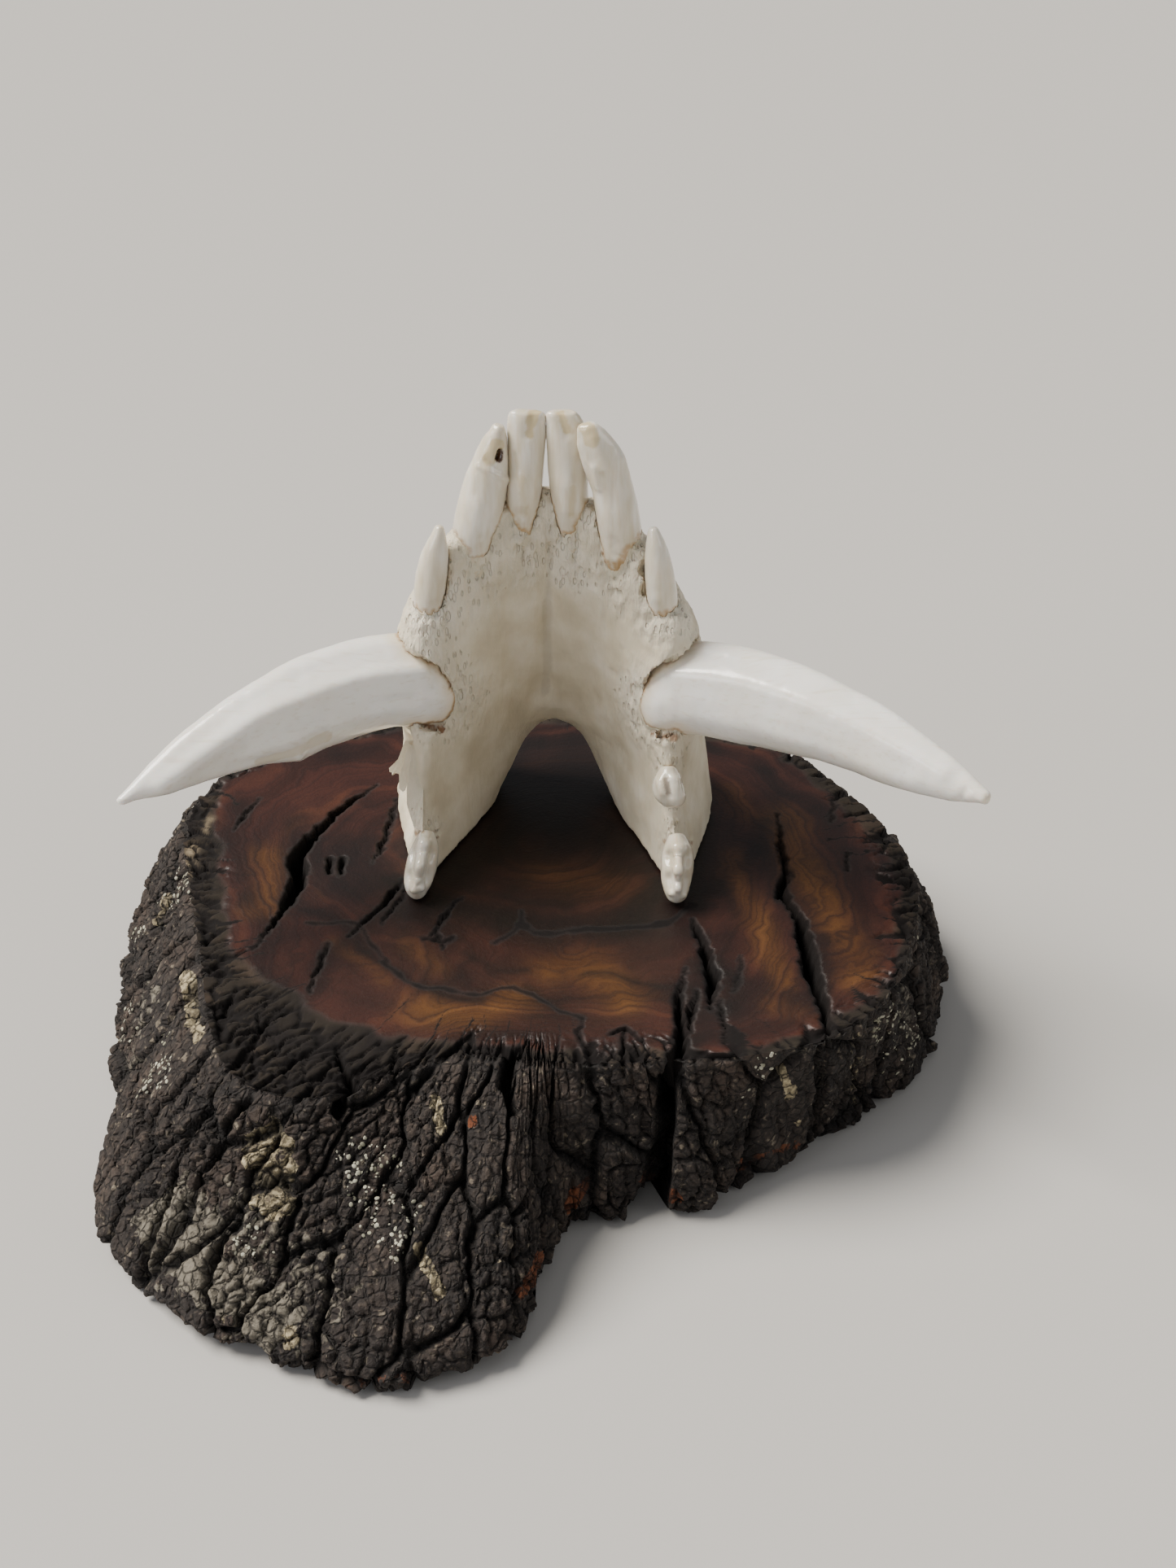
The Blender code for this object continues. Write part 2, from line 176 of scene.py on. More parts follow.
# %% The camera's lines of sight
EYE = Vector((13.4, -386.1, 360.6)) * MM
PITCH = math.radians(36)
PICTURE = (1445, 1927)  # width and height in pixels
MIDDLE_ACROSS, MIDDLE_DOWN = PICTURE[0] / 2, PICTURE[1] / 2
FOCUS = 2896  # focal length in pixels
AHEAD = Vector((0, math.cos(PITCH), -math.sin(PITCH)))
UP = Vector((0, math.sin(PITCH), math.cos(PITCH)))
RIGHT = Vector((1, 0, 0))


def sight(across, down):
    """The way from the camera through a place in the picture."""
    return AHEAD + RIGHT * (across - MIDDLE_ACROSS) / FOCUS + UP * (MIDDLE_DOWN - down) / FOCUS


print("camera height:", round(EYE.z / MM), "mm")

# %% [markdown]
# ## The slab's outline
# The slab is a star-shaped form: from a point near its middle, every straight line
# out meets the edge once. So it is measured with rays that run inwards at each height,
# which gives the wall's radius by angle. The open notch in front would swallow some of
# the rays, so the radius is filled across it here, and the notch is cut again later,
# with the other cracks.

# %% Measure the slab's wall
SLAB_TOP = 36.0
SLAB_MIDDLE = np.array([3.0, 22.0])
COLUMNS = 1200
HEIGHTS = np.array([35.8, 33, 29, 25, 21, 17, 13, 10, 7.5, 5, 3, 1.6, 0.6])
FOOT_LEVEL = 5.0  # height at which the girth is measured
RAY_START = 0.2  # metres from the middle, well outside the slab

slab_solid = merged_copy("wood_slab", "slab_measure")
slab_points = [v.co.copy() for v in slab_solid.data.vertices]
slab_faces = [tuple(p.vertices) for p in slab_solid.data.polygons]
slab_tree = BVHTree.FromPolygons(slab_points, slab_faces)
bpy.data.objects.remove(slab_solid)


def wall_radius(angle, height):
    out = Vector((math.cos(angle), math.sin(angle), 0))
    start = Vector((*SLAB_MIDDLE, height)) * MM + out * RAY_START
    hit = slab_tree.ray_cast(start, -out)
    return (RAY_START - hit[3]) / MM


def fill_dips(radii, reach):
    """Raises narrow dips to the middle value of their surroundings."""
    shifted = np.stack([np.roll(radii, k) for k in range(-reach, reach + 1)])
    usual = np.median(shifted, axis=0)
    return np.where(radii < usual - 0.8, usual, radii)  # a dip is deeper than 0.8 mm


def blur_round(values, reach):
    """A soft average along the closed outline."""
    steps = np.arange(-3 * reach, 3 * reach + 1)
    shares = np.exp(-0.5 * (steps / reach) ** 2)
    return sum(w * np.roll(values, k, axis=0) for k, w in zip(steps, shares)) / shares.sum()


first_angles = np.linspace(math.pi / 2, 2.5 * math.pi, 720, endpoint=False)
first = fill_dips(np.array([wall_radius(a, FOOT_LEVEL) for a in first_angles]), 14)
edge = np.stack([np.cos(first_angles), np.sin(first_angles)], 1) * first[:, None]
lengths = np.linalg.norm(np.roll(edge, -1, 0) - edge, axis=1)
travelled = np.concatenate([[0], np.cumsum(lengths)])
GIRTH = travelled[-1]
angles = np.interp(
    np.arange(COLUMNS) * GIRTH / COLUMNS, travelled, np.append(first_angles, 2.5 * math.pi)
)
along = np.arange(COLUMNS) * GIRTH / COLUMNS
print("girth of the slab at its foot:", round(GIRTH), "mm")

# %% [markdown]
# The wall leans out to its foot, far more in front than at the back, so its radius is
# measured at many heights. Every third column is enough, because the bark gets its own
# relief later. At the back the sanded top of the real slab spreads a little further than
# the plain solid does, so soft shoulders push the rim out there. The one in the middle
# of the back is given twice, as the angles begin and end at it.

# %% Radius of the wall at each column and height
every_third = np.arange(0, COLUMNS, 3)
wall = np.empty((COLUMNS, len(HEIGHTS)))
for k, height in enumerate(HEIGHTS):
    radii = fill_dips(np.array([wall_radius(a, height) for a in angles[every_third]]), 16)
    wall[:, k] = np.interp(
        np.arange(COLUMNS), np.append(every_third, COLUMNS), np.append(radii, radii[0])
    )
wall = blur_round(wall, 4)
SHOULDERS = [
    # angle and half width in degrees, how far out and how far down in millimetres
    (128, 20, 5.0, 60), (406, 17, 3.0, 60), (90, 14, 2.6, 14), (450, 14, 2.6, 14),
]
for middle, half_width, out, tall in SHOULDERS:
    spread = out * np.exp(-(((np.degrees(angles) - middle) / half_width) ** 2))
    wall += spread[:, None] * np.clip((HEIGHTS - SLAB_TOP + tall) / (0.8 * tall), 0, 1)
rim = wall[:, 0]
unit = np.stack([np.cos(angles), np.sin(angles)], 1)
print("radius of the sanded top:", round(rim.min()), "to", round(rim.max()), "mm")

# %% [markdown]
# ## Cracks
# As wood dries it shrinks more around the rings than across them, so it splits along
# its radii. Each crack is a wandering line with a width at each end and in the middle.
# The same function cuts the top and the bark, so a crack that reaches the rim goes
# through it, as the deep split in front does.

# %% The drying cracks, in millimetres
CRACKS = [
    # points, width at each point, depth
    ([(-36, 60), (-44, 50), (-49, 41), (-52, 33), (-51, 25), (-52.5, 17), (-54.5, 10), (-58, 1)],
     [0.4, 1.7, 2.4, 4.2, 3.8, 2.6, 1.2, 0.3], 10),
    ([(57, 49), (57, 35), (58, 27), (56, 20), (59, 12), (60, 4), (60.6, -7), (62, -16), (63, -30)],
     [0.3, 0.9, 1.4, 2.6, 2.2, 3.4, 3.6, 2.4, 1.0], 11),
    ([(36, 11), (37.6, 4), (39, -4), (39.6, -10), (38.8, -19)], [0.5, 1.6, 2.4, 2.4, 0.5], 9),
    ([(41, -16), (41.2, -22), (41, -29)], [0.3, 0.9, 0.3], 3),
    ([(34, -6), (32.4, -13), (32, -19), (32.5, -28), (30, -36), (27, -44), (23.5, -52)],
     [0.4, 1.3, 2.2, 2.6, 4.5, 7.5, 13.0], 16),
    ([(36.4, -13), (34.6, -19), (34.2, -26)], [0.4, 1.4, 0.5], 4),
    ([(-44.6, 32), (-44.4, 27.2)], [1.5, 1.3], 4),
    ([(-42, 32.4), (-41.7, 27)], [1.3, 1.2], 4),
    ([(-30.8, 55), (-32, 46), (-33, 38), (-34.6, 31)], [0.2, 0.8, 1.0, 0.2], 3),
    ([(-63, 55), (-65.5, 49), (-67.5, 43)], [0.2, 0.7, 0.2], 2),
    ([(-28, 24), (-30.5, 18.5), (-33, 13), (-38, 5)], [0.4, 1.2, 1.0, 0.3], 3),
    ([(-26, 22), (-29.5, 14), (-31, 9)], [0.3, 0.7, 0.2], 2),
    ([(-42.4, 2.7), (-43.2, -3), (-44.2, -8), (-45, -13)], [0.5, 0.8, 0.7, 0.4], 2),
    ([(-14.6, 17.6), (-17.4, 13), (-19, 8), (-20.4, 5)], [0.3, 0.8, 0.7, 0.3], 2),
    ([(-22, 4.6), (-18, 3.2), (-15.5, 4.4)], [0.3, 0.8, 0.2], 1.5),
    ([(-19.4, 6), (-18.2, 3.2), (-17.6, 0.6)], [0.2, 0.7, 0.2], 1.5),
    ([(72, 34), (71, 28)], [0.3, 0.4], 1.5),
    ([(70.6, 54), (69.2, 46)], [0.3, 0.4], 1.5),
    ([(-38, -30), (-36.5, -35), (-34, -40), (-36, -46)], [0.4, 1.4, 2.6, 3.4], 6),
    ([(-0.4, -30), (-2.5, -33), (-3.4, -37), (-1.6, -43)], [0.5, 2.4, 3.6, 2.8], 7),
    ([(12.4, -21), (11.6, -27), (13.6, -31)], [0.2, 0.7, 0.9], 2),
    ([(17.5, -26.5), (21, -24.5), (24, -27.5)], [0.3, 0.8, 0.3], 2),
    ([(21, -24.5), (20.2, -29), (21, -35)], [0.5, 0.9, 1.0], 2),
    ([(-52, -14), (-54.5, -20), (-53, -26)], [0.3, 0.6, 0.6], 2),
    ([(-60, -12), (-61.5, -17), (-66, -22)], [0.3, 0.8, 1.0], 3),
    ([(-24, -27), (-26, -33), (-25, -39)], [0.2, 0.9, 1.4], 3),
    ([(46, -2), (45.2, -8), (44, -13)], [0.2, 0.5, 0.2], 1.2),
]
SEAMS = [
    # fine broken lines in the wood: points and width
    ([(-2, 8.8), (3, 5.6), (9, 6.2), (15.4, 7.4), (26, 7.6), (32, 10), (37, 15)], 1.6),
    ([(-30, -3.6), (-26.8, -8.3), (-20.6, -12.2), (-12, -12.6), (-3.6, -12.4), (0.4, -13.7),
      (11.4, -21)], 0.7),
    ([(-48, 10), (-40, 9.6), (-34, 5), (-29, -3)], 0.6),
    ([(-2, 14), (-1.2, 10), (-3, 6), (-6.6, 2)], 0.6),
]
print("cracks in the slab:", len(CRACKS), "and fine seams:", len(SEAMS))

# %% [markdown]
# A split follows the fibres, so it is smooth at large and torn at small size. The few
# points of each line are joined by a soft curve, and a place's distance to the curve
# gives the depth there. The places are shaken a little first, which tears the sides.

# %% Lines and depths
LINE_REACH = 14  # mm from a line beyond which it changes nothing


def smooth_line(points, step=1.2):
    """Closely spaced points on a smooth curve through the given ones."""
    points = np.array(points, float)
    padded = np.concatenate([points[:1], points, points[-1:]])
    out = []
    for k in range(len(points) - 1):
        a, b, c, d = padded[k:k + 4]
        count = max(2, int(np.linalg.norm((c - b)[:2]) / step))
        for f in np.arange(count) / count:
            bend = 2 * a - 5 * b + 4 * c - d + f * (3 * b - a - 3 * c + d)
            out.append(b + 0.5 * f * (c - a + f * bend))
    return np.array(out + [points[-1]])


def line_distance(places, line, widths):
    """Distance to the nearest point of a line, less half its width there."""
    best = np.full(len(places), 1e3)
    for a, b, w, v in zip(line[:-1], line[1:], widths[:-1], widths[1:]):
        near = np.abs(places - (a + b) / 2).max(axis=1) < LINE_REACH
        if not near.any():
            continue
        span = b - a
        part = np.clip((places[near] - a) @ span / (span @ span), 0, 1)
        gap = np.linalg.norm(places[near] - a - part[:, None] * span, axis=1)
        best[near] = np.minimum(best[near], gap - (w + (v - w) * part) / 2)
    return best


def crack_depth(places):
    """How deep the cracks go at places (x, y), and how near the closest one is."""
    flat = np.column_stack([places, np.zeros(len(places))])
    jagged = places + 0.55 * np.stack([lumps(flat, 1.7, 3), lumps(flat, 1.7, 4)], 1)
    jagged += 0.3 * np.stack([lumps(flat, 0.8, 5), lumps(flat, 0.8, 6)], 1)
    depth = np.zeros(len(places))
    nearest = np.full(len(places), 1e3)
    for points, widths, deep in CRACKS:
        rows = smooth_line([(*p, w) for p, w in zip(points, widths)])
        gap = line_distance(jagged, rows[:, :2], np.maximum(rows[:, 2], 0.25))
        depth = np.maximum(depth, deep * ramp(-gap, -0.15, 0.3 + deep * 0.14))
        nearest = np.minimum(nearest, gap)
    return depth, nearest


print("depth of the front split:", round(crack_depth(np.array([[30.0, -36.0]]))[0][0], 1), "mm")

# %% [markdown]
# ## Bark plates
# Old bark breaks into plates that run up the trunk, parted by deep cracks, and each
# plate is crazed into smaller ones. A cell pattern does both: every point of the wall
# looks for the nearest and second nearest cell centre, and where they are equally far,
# there is a crack. The cells are taller than wide, their rows wrap around the slab
# without a seam, and the coordinates are shaken first so that no crack is straight.

# %% Plates and their cracks
PLATE = (13, 30)  # width and height of a plate in millimetres


def cells(across, down, wide, tall, seed):
    """Distance to the border of the cell, in cell sizes, and a number per cell."""
    count = round(GIRTH / wide)
    u = across * count / GIRTH
    v = down / tall
    home_u = np.floor(u).astype(np.int64)
    home_v = np.floor(v).astype(np.int64)
    first = np.full(len(u), 9.0)
    second = np.full(len(u), 9.0)
    number = np.zeros(len(u))
    for i, j in itertools.product((-1, 0, 1), (-1, 0, 1)):
        cell_u, cell_v = home_u + i, home_v + j
        turn = cell_u % count
        shift_u = 0.5 + 0.42 * lattice(turn, cell_v, 0 * turn, seed)
        shift_v = 0.5 + 0.42 * lattice(turn, cell_v, 0 * turn + 7, seed)
        gap = np.hypot(cell_u + shift_u - u, cell_v + shift_v - v)
        closer = gap < first
        second = np.where(closer, first, np.minimum(second, gap))
        number = np.where(closer, lattice(turn, cell_v, 0 * turn + 13, seed), number)
        first = np.where(closer, gap, first)
    return second - first, number


def bark_relief(across, down, places):
    """Height of the bark over its smooth form, and how deep in a crack it is."""
    shake = 2.2 * rough(places, 11, 2, 21)
    shake_down = 4.0 * rough(places, 14, 2, 31)
    ragged = 0.7 * rough(places, 2.6, 2, 23)
    big, number = cells(across + shake + ragged, down + shake_down, *PLATE, 1)
    small, craze = cells(across + 0.6 * shake + ragged, down + shake_down + ragged, 4.4, 6.5, 2)
    fine, flake = cells(across + ragged, down + 1.5 * ragged, 1.9, 2.4, 3)
    main = 1 - ramp(big, 0.0, 0.16)
    side = 1 - ramp(small, 0.0, 0.22)
    hair = 1 - ramp(fine, 0.0, 0.3)
    strands = lumps(np.column_stack([across + shake, down / 9, 0 * down]), 0.9, 41)
    crazed = ramp(lumps(places, 24, 51), -0.4, 0.3)
    height = 0.75 * number + 0.45 * craze * crazed + 0.22 * flake * crazed
    height += 0.35 * strands * (1 - 0.6 * crazed) + 0.5 * rough(places, 6, 3, 61)
    height -= 2.7 * main + 1.1 * side * (0.35 + 0.65 * crazed) + 0.4 * hair * crazed
    hollow = np.clip(main + 0.7 * side * (0.3 + 0.7 * crazed) + 0.3 * hair * crazed, 0, 1)
    return height, hollow


print("plates around the slab:", round(GIRTH / PLATE[0]))

# %% [markdown]
# ## The sanded top
# The top is one even net: a square grid pressed into a disc and stretched to the
# slab's outline, so the faces stay about half a millimetre wide everywhere, with no
# crowded middle. Its border points are the same as the first ring of the bark. Cracks
# are pressed straight down, and at the rim along a slope, as the bark's are, so the two
# surfaces meet there.

# %% A net over the top
SIDE = COLUMNS // 4 + 1
RIM_TURN = 2.0  # width in millimetres of the slope at the rim


def rim_index(k):
    """Grid place of the k-th border point, anticlockwise from the middle of the back."""
    half = (SIDE - 1) // 2
    k = (k + half) % (4 * (SIDE - 1))
    part, step = divmod(k, SIDE - 1)
    last = SIDE - 1
    return [(last - step, last), (0, last - step), (step, 0), (last, step)][part]


grid = np.linspace(-1, 1, SIDE)
gu, gv = np.meshgrid(grid, grid, indexing="ij")
disc_x = gu * np.sqrt(1 - gv**2 / 2)
disc_y = gv * np.sqrt(1 - gu**2 / 2)
share = np.hypot(disc_x, disc_y).ravel()
turn = np.arctan2(disc_y, disc_x)
border = [rim_index(k) for k in range(COLUMNS)]
border_turn = np.unwrap([turn[i, j] for i, j in border])
turn = (turn.ravel() - border_turn[0]) % (2 * math.pi) + border_turn[0]
wheel = np.arange(COLUMNS + 1)
column = np.interp(turn, np.append(border_turn, border_turn[0] + 2 * math.pi), wheel)
top_angle = np.interp(column, wheel, np.append(angles, angles[0] + 2 * math.pi))
top_rim = np.interp(column, wheel, np.append(rim, rim[0]))
top_along = np.interp(column, wheel, np.append(along, GIRTH))
top_unit = np.stack([np.cos(top_angle), np.sin(top_angle)], 1)
top_flat = SLAB_MIDDLE + top_unit * (share * top_rim)[:, None]
from_rim = (1 - share) * top_rim
print("top net:", SIDE, "by", SIDE, "points")

# %% [markdown]
# A coarse disc left the outer edge of the top grey and dry. In front on the left this
# band is wide, and the cracks of the bark run on across it.

# %% Where the polished wood ends
POLISHED = [
    (-72, 62), (-73, 45), (-69, 36.5), (-65, 13), (-62, 0.5), (-56, -8), (-48, -13), (-40, -21),
    (-28, -26), (-12, -28.5), (1, -30), (12, -31), (24, -30), (34, -31), (44, -31), (52, -27),
    (61, -26), (65, -20), (71, -17), (76.5, -10), (79, -3), (81, 10), (81, 30), (77, 43),
    (70, 56), (58, 73), (48, 77), (40, 79), (3, 85), (-30, 82), (-56, 74),
]
polished = np.array(POLISHED) - SLAB_MIDDLE
polished_angle = np.arctan2(polished[:, 1], polished[:, 0])
order = np.argsort(polished_angle)
polished_far = np.linalg.norm(polished, axis=1)[order]
polished_angle = polished_angle[order]


def polished_radius(outward):
    turned = np.arctan2(outward[:, 1], outward[:, 0])
    return np.interp(turned, polished_angle, polished_far, period=2 * math.pi)


print("grey band at its widest:", round((rim - polished_radius(unit)).max()), "mm")

# %% [markdown]
# The net is now pressed down wherever a crack runs. At the rim the bark's own cracks run
# on into the wood as short radial checks, and the grey band is crazed all over. At the
# border itself a crack takes a point in and down by the same amount, because the bark's
# net does so too, and then no gap opens between the two.

# %% Press the cracks into it
RIM_SLANT = 0.7  # way in, and way down, for each millimetre of a crack's depth


def at_rim(flat, unit_out, depth):
    """Where a point of the rim goes: inwards and down together."""
    step = depth * RIM_SLANT
    return np.column_stack([flat - unit_out * step[:, None], SLAB_TOP - step])


def on_a_line(values):
    """Points on a straight line, for relief that changes only along the rim."""
    return np.column_stack([values, 0 * values, 0 * values])


def net_mesh(name, points, shape, upwards):
    """A mesh of squares over a grid of points. It faces up, or out from the slab."""
    ids = np.arange(shape[0] * shape[1]).reshape(shape)
    corners = [ids[:-1, :-1], ids[1:, :-1], ids[1:, 1:], ids[:-1, 1:]]
    if not upwards:
        corners = [corners[k] for k in (0, 3, 2, 1)]
    faces = np.stack(corners, -1).reshape(-1, 4)
    made = bpy.data.meshes.new(name)
    made.from_pydata((points * MM).tolist(), [], faces.tolist())
    return made


def wood_depth(flat, outward, across, inward):
    """Depth of the cracks, with the bark's own cracks running a little way in."""
    far = np.linalg.norm(flat - SLAB_MIDDLE, axis=1)
    band = np.clip(far + inward - polished_radius(outward), 0, 40)
    cut, nearest = crack_depth(flat)
    places = np.column_stack([flat, np.full(len(flat), SLAB_TOP)])
    hollow = bark_relief(across, -inward, places)[1]
    calm = 1 - 0.7 * ramp(flat[:, 1], 45, 65)
    reach = 1 - ramp(inward / (5.5 * calm + 0.9 * band) + 0.3 * lumps(places, 5, 71), 0.1, 1.0)
    reach = np.where(inward < 0.01, 1.0, reach)
    shake = 1.6 * rough(places, 4, 3, 72)
    border = cells(across + shake, inward + 30, 7.5, 90, 9)[0]
    check = 1 - ramp(border, 0.0, 0.11)
    length = (5 * calm + 0.8 * band) * (1 + 0.8 * lumps(on_a_line(across), 9, 73))
    check *= 1 - ramp(inward, 0.6 * length, 1.2 * length)
    crazed = cells(across + shake, inward + 0.5 * shake + 30, 5.5, 12, 19)[0]
    grey = ramp(far - polished_radius(outward) + 1.5 * lumps(places, 4, 76), 0.5, 3.0)
    fissure = (1 - ramp(crazed, 0.0, 0.22)) * grey
    depth = cut + 1.7 * hollow * reach * ramp(hollow, 0.2, 0.7) + 0.5 * check * grey
    depth += 0.9 * fissure + 0.15 * grey * (rough(places, 3, 3, 75) + 1)
    return depth, nearest, np.maximum(np.maximum(hollow * reach, check), 0.8 * fissure)


top_depth, top_near, top_hollow = wood_depth(top_flat, top_unit, top_along, from_rim)
sloped = 1 - ramp(from_rim, 0.0, RIM_TURN)
top_points = np.column_stack([
    top_flat - top_unit * (sloped * RIM_SLANT * top_depth)[:, None],
    SLAB_TOP - top_depth * (1 - (1 - RIM_SLANT) * sloped),
])
top_mesh = net_mesh("slab_top", top_points, (SIDE, SIDE), upwards=True)
slab_top = new_object("slab_top", top_mesh)
print("top faces:", len(top_mesh.polygons), "deepest crack:", round(top_depth.max(), 1), "mm")

# %% [markdown]
# Heartwood is never one colour. Honey coloured figure, clear red wood, dark stains and a
# pale strip by the left edge each lie where the tree grew them, so they are drawn as
# strokes over the picture. Two of the dark strokes are painted shadow instead: the shade
# that falls on the wood under the jaw's arch, between its legs. A stroke is a line, and
# the colour spreads softly from it.

# %% Honey coloured, red, dark and pale places in the wood, and painted shade under the jaw
GOLD = [
    # line in the picture, half width in millimetres, strength
    ([(960, 1006), (980, 1048), (999, 1084), (1023, 1119), (1042, 1153), (1053, 1200)], 4.2, 1.0),
    ([(902, 1048), (917, 1096), (938, 1138), (946, 1180), (964, 1211)], 2.8, 0.75),
    ([(675, 1188), (716, 1185), (744, 1202), (768, 1230)], 4.6, 1.0),
    ([(515, 1239), (550, 1249), (591, 1243), (633, 1228)], 4.2, 0.9),
    ([(325, 1048), (329, 1086), (320, 1116)], 3.2, 0.8),
    ([(675, 1069), (709, 1077), (744, 1084)], 5.5, 0.4),
    ([(411, 1159), (439, 1173), (467, 1207)], 2.0, 0.4),
    ([(955, 1235), (987, 1242)], 3.0, 0.5),
    ([(897, 972), (917, 1006)], 3.0, 0.5),
    ([(508, 1159), (536, 1193)], 2.4, 0.35),
]
RED = [
    # the same for clear red wood
    ([(377, 1204), (397, 1235), (446, 1263), (508, 1280), (605, 1287), (709, 1280),
      (820, 1263)], 4.5, 0.8),
    ([(262, 1138), (286, 1155), (314, 1146)], 3.5, 0.8),
    ([(869, 1291), (924, 1277), (994, 1263)], 3.5, 0.8),
    ([(1042, 1235), (1080, 1211), (1101, 1159), (1094, 1096)], 4.0, 0.8),
    ([(279, 1006), (328, 973), (397, 958), (481, 936)], 7.0, 1.0),
    ([(284, 1034), (276, 1089)], 4.0, 0.6),
    ([(321, 1159), (349, 1131), (397, 1131), (418, 1148), (390, 1169), (349, 1173)], 4.0, 0.6),
    ([(550, 1069), (605, 1034)], 6.0, 0.4),
    ([(605, 1159), (675, 1173), (779, 1169), (827, 1159)], 3.5, 0.7),
    ([(883, 944), (897, 999), (890, 1069)], 5.0, 0.7),
    ([(910, 1110), (917, 1173), (903, 1228)], 3.0, 0.6),
    ([(976, 1117), (974, 1159), (983, 1207)], 2.6, 0.8),
    ([(1014, 1027), (1049, 1069), (1070, 1110)], 3.5, 0.7),
    ([(425, 1020), (460, 1006), (481, 972)], 4.0, 0.6),
]
DARK_AND_SHADE = [
    # the same for dark stained wood; the first two strokes are painted shadow under the jaw's arch
    ([(560, 1060), (640, 1020), (745, 1030)], 9.0, 0.9),
    ([(605, 944), (661, 992), (716, 944)], 16.0, 1.0),
    ([(508, 1112), (564, 1116), (619, 1121), (675, 1138), (779, 1138), (841, 1116)], 4.5, 0.85),
    ([(364, 1006), (353, 1062), (356, 1112)], 2.6, 0.75),
    ([(392, 1034), (383, 1069), (397, 1096), (418, 1069), (418, 1027)], 2.4, 0.7),
    ([(856, 1006), (863, 1055), (858, 1112)], 4.0, 0.8),
    ([(942, 1013), (955, 1083), (987, 1138), (1007, 1207), (1021, 1249)], 2.6, 0.75),
    ([(503, 1079), (467, 1124), (425, 1160), (396, 1181), (387, 1214)], 2.2, 0.75),
    ([(363, 1119), (397, 1121), (432, 1145), (453, 1167), (475, 1188), (508, 1209),
      (550, 1225), (591, 1224)], 1.3, 0.85),
    ([(647, 1214), (675, 1232), (709, 1250)], 1.2, 0.7),
    ([(723, 1197), (758, 1200), (799, 1209), (827, 1214)], 1.2, 0.75),
    ([(571, 1173), (605, 1190), (647, 1193)], 1.1, 0.7),
    ([(293, 1193), (349, 1232), (370, 1291), (446, 1287), (508, 1308), (564, 1297)], 3.0, 0.8),
    ([(955, 985), (960, 1020)], 3.0, 0.6),
    ([(446, 1034), (429, 1055), (467, 1103)], 2.6, 0.5),
    ([(293, 992), (259, 1034)], 3.0, 0.6),
    ([(876, 1193), (903, 1214), (890, 1242)], 3.4, 1.0),
    ([(834, 1221), (855, 1235), (841, 1291)], 2.5, 0.7),
    ([(1021, 972), (1035, 1006)], 3.0, 0.5),
    ([(890, 1089), (909, 1124)], 1.6, 0.6),
    ([(730, 1152), (772, 1146), (820, 1131)], 2.0, 0.6),
]
STRIP = [
    # the same for the pale strip of wood by the left edge
    ([(235, 1038), (224, 1060), (208, 1090)], 1.4, 1.0), ([(262, 1004), (250, 1020)], 1.0, 0.6),
]
print("strokes of colour:", len(GOLD + RED + DARK_AND_SHADE + STRIP))

# %% [markdown]
# The bands follow the tree's growth: a ring number runs from its middle to the rim,
# shaken by slow lumps so that the bands wander as they do around a knot. It is kept on
# the points of the top together with the coloured areas, the grey edge and the cracks,
# all as plain numbers, and the material turns the numbers into colour.

# %% Growth bands and soft areas on the top
PITH = (4, 52)  # where the growth bands close round the tree's middle


def on_top(across, down):
    """Where the line of sight through a place in the picture meets the top."""
    ray = sight(across, down)
    place = EYE + ray * (SLAB_TOP * MM - EYE.z) / ray.z
    return place.x / MM, place.y / MM


def washed(strokes, spread):
    """Soft coloured areas along strokes."""
    wash = np.zeros(len(top_flat))
    for line, width, strength in strokes:
        line = smooth_line([on_top(*place) for place in line], 2.5)
        gap = np.clip(line_distance(shaken, line, np.zeros(len(line))), 0, 99)
        wash = np.maximum(wash, strength * np.exp(-((gap / (width * spread)) ** 2)))
    return wash


places = np.column_stack([top_flat, np.full(len(top_flat), SLAB_TOP)])
shaken = top_flat + 1.3 * np.stack([rough(places, 9, 4, 81), rough(places, 9, 4, 82)], 1)
gold = washed(GOLD, 1.1)
red = washed(RED, 1.3)
# dark stains, and the painted shadow on the wood under the jaw's arch
dark = washed(DARK_AND_SHADE, 1.2)
strip = washed(STRIP, 1.0)
seam = np.full(len(top_flat), 1e3)
for points, width in SEAMS:
    line = smooth_line(points)
    broken = width / 2 * (0.4 + lumps(places, 2.2, 95))
    seam = np.minimum(seam, line_distance(shaken, line, np.zeros(len(line))) - broken)
inside = polished_radius(top_unit) - share * top_rim
from_pith = np.linalg.norm(top_flat - PITH, axis=1)
outer = ramp(share, 0.1, 0.85)
ring = 74 * share * outer + from_pith * (1 - outer)
ring += 6 * rough(places, 30, 3, 91) + 1.2 * rough(places, 6, 3, 92)
to_crack = np.minimum(np.minimum(top_near, seam), 3 * (1 - np.clip(4 * top_hollow, 0, 1)))
areas = {
    "ring": ring, "gold": gold, "red": red, "dark": dark, "strip": strip,
    "polish": ramp(inside + 1.6 * lumps(places, 3.5, 93), -1.5, 1.2),
    "crack": np.minimum(to_crack, 4),
    # how deep a point lies in a crack, which the material paints near black as shade
    "hollow": np.clip(top_hollow + ramp(top_depth, 0.4, 2.5), 0, 1),
}
for name, values in areas.items():
    put_attribute(top_mesh, name, values)
print("share of honey coloured wood:", round(float((gold > 0.4).mean()), 2))

# %% [markdown]
# ## The bark
# The wall under the rim is a net of columns and rows. The rows are spaced by the
# length of the slope, because on the long skirt in front they have twice as far to go.
# Its relief stands along the wall's own direction, and the lowest rows are bitten away
# unevenly, then turned in, so the bark ends in a ragged edge just over the ground.

# %% Build the wall
ROWS = 150


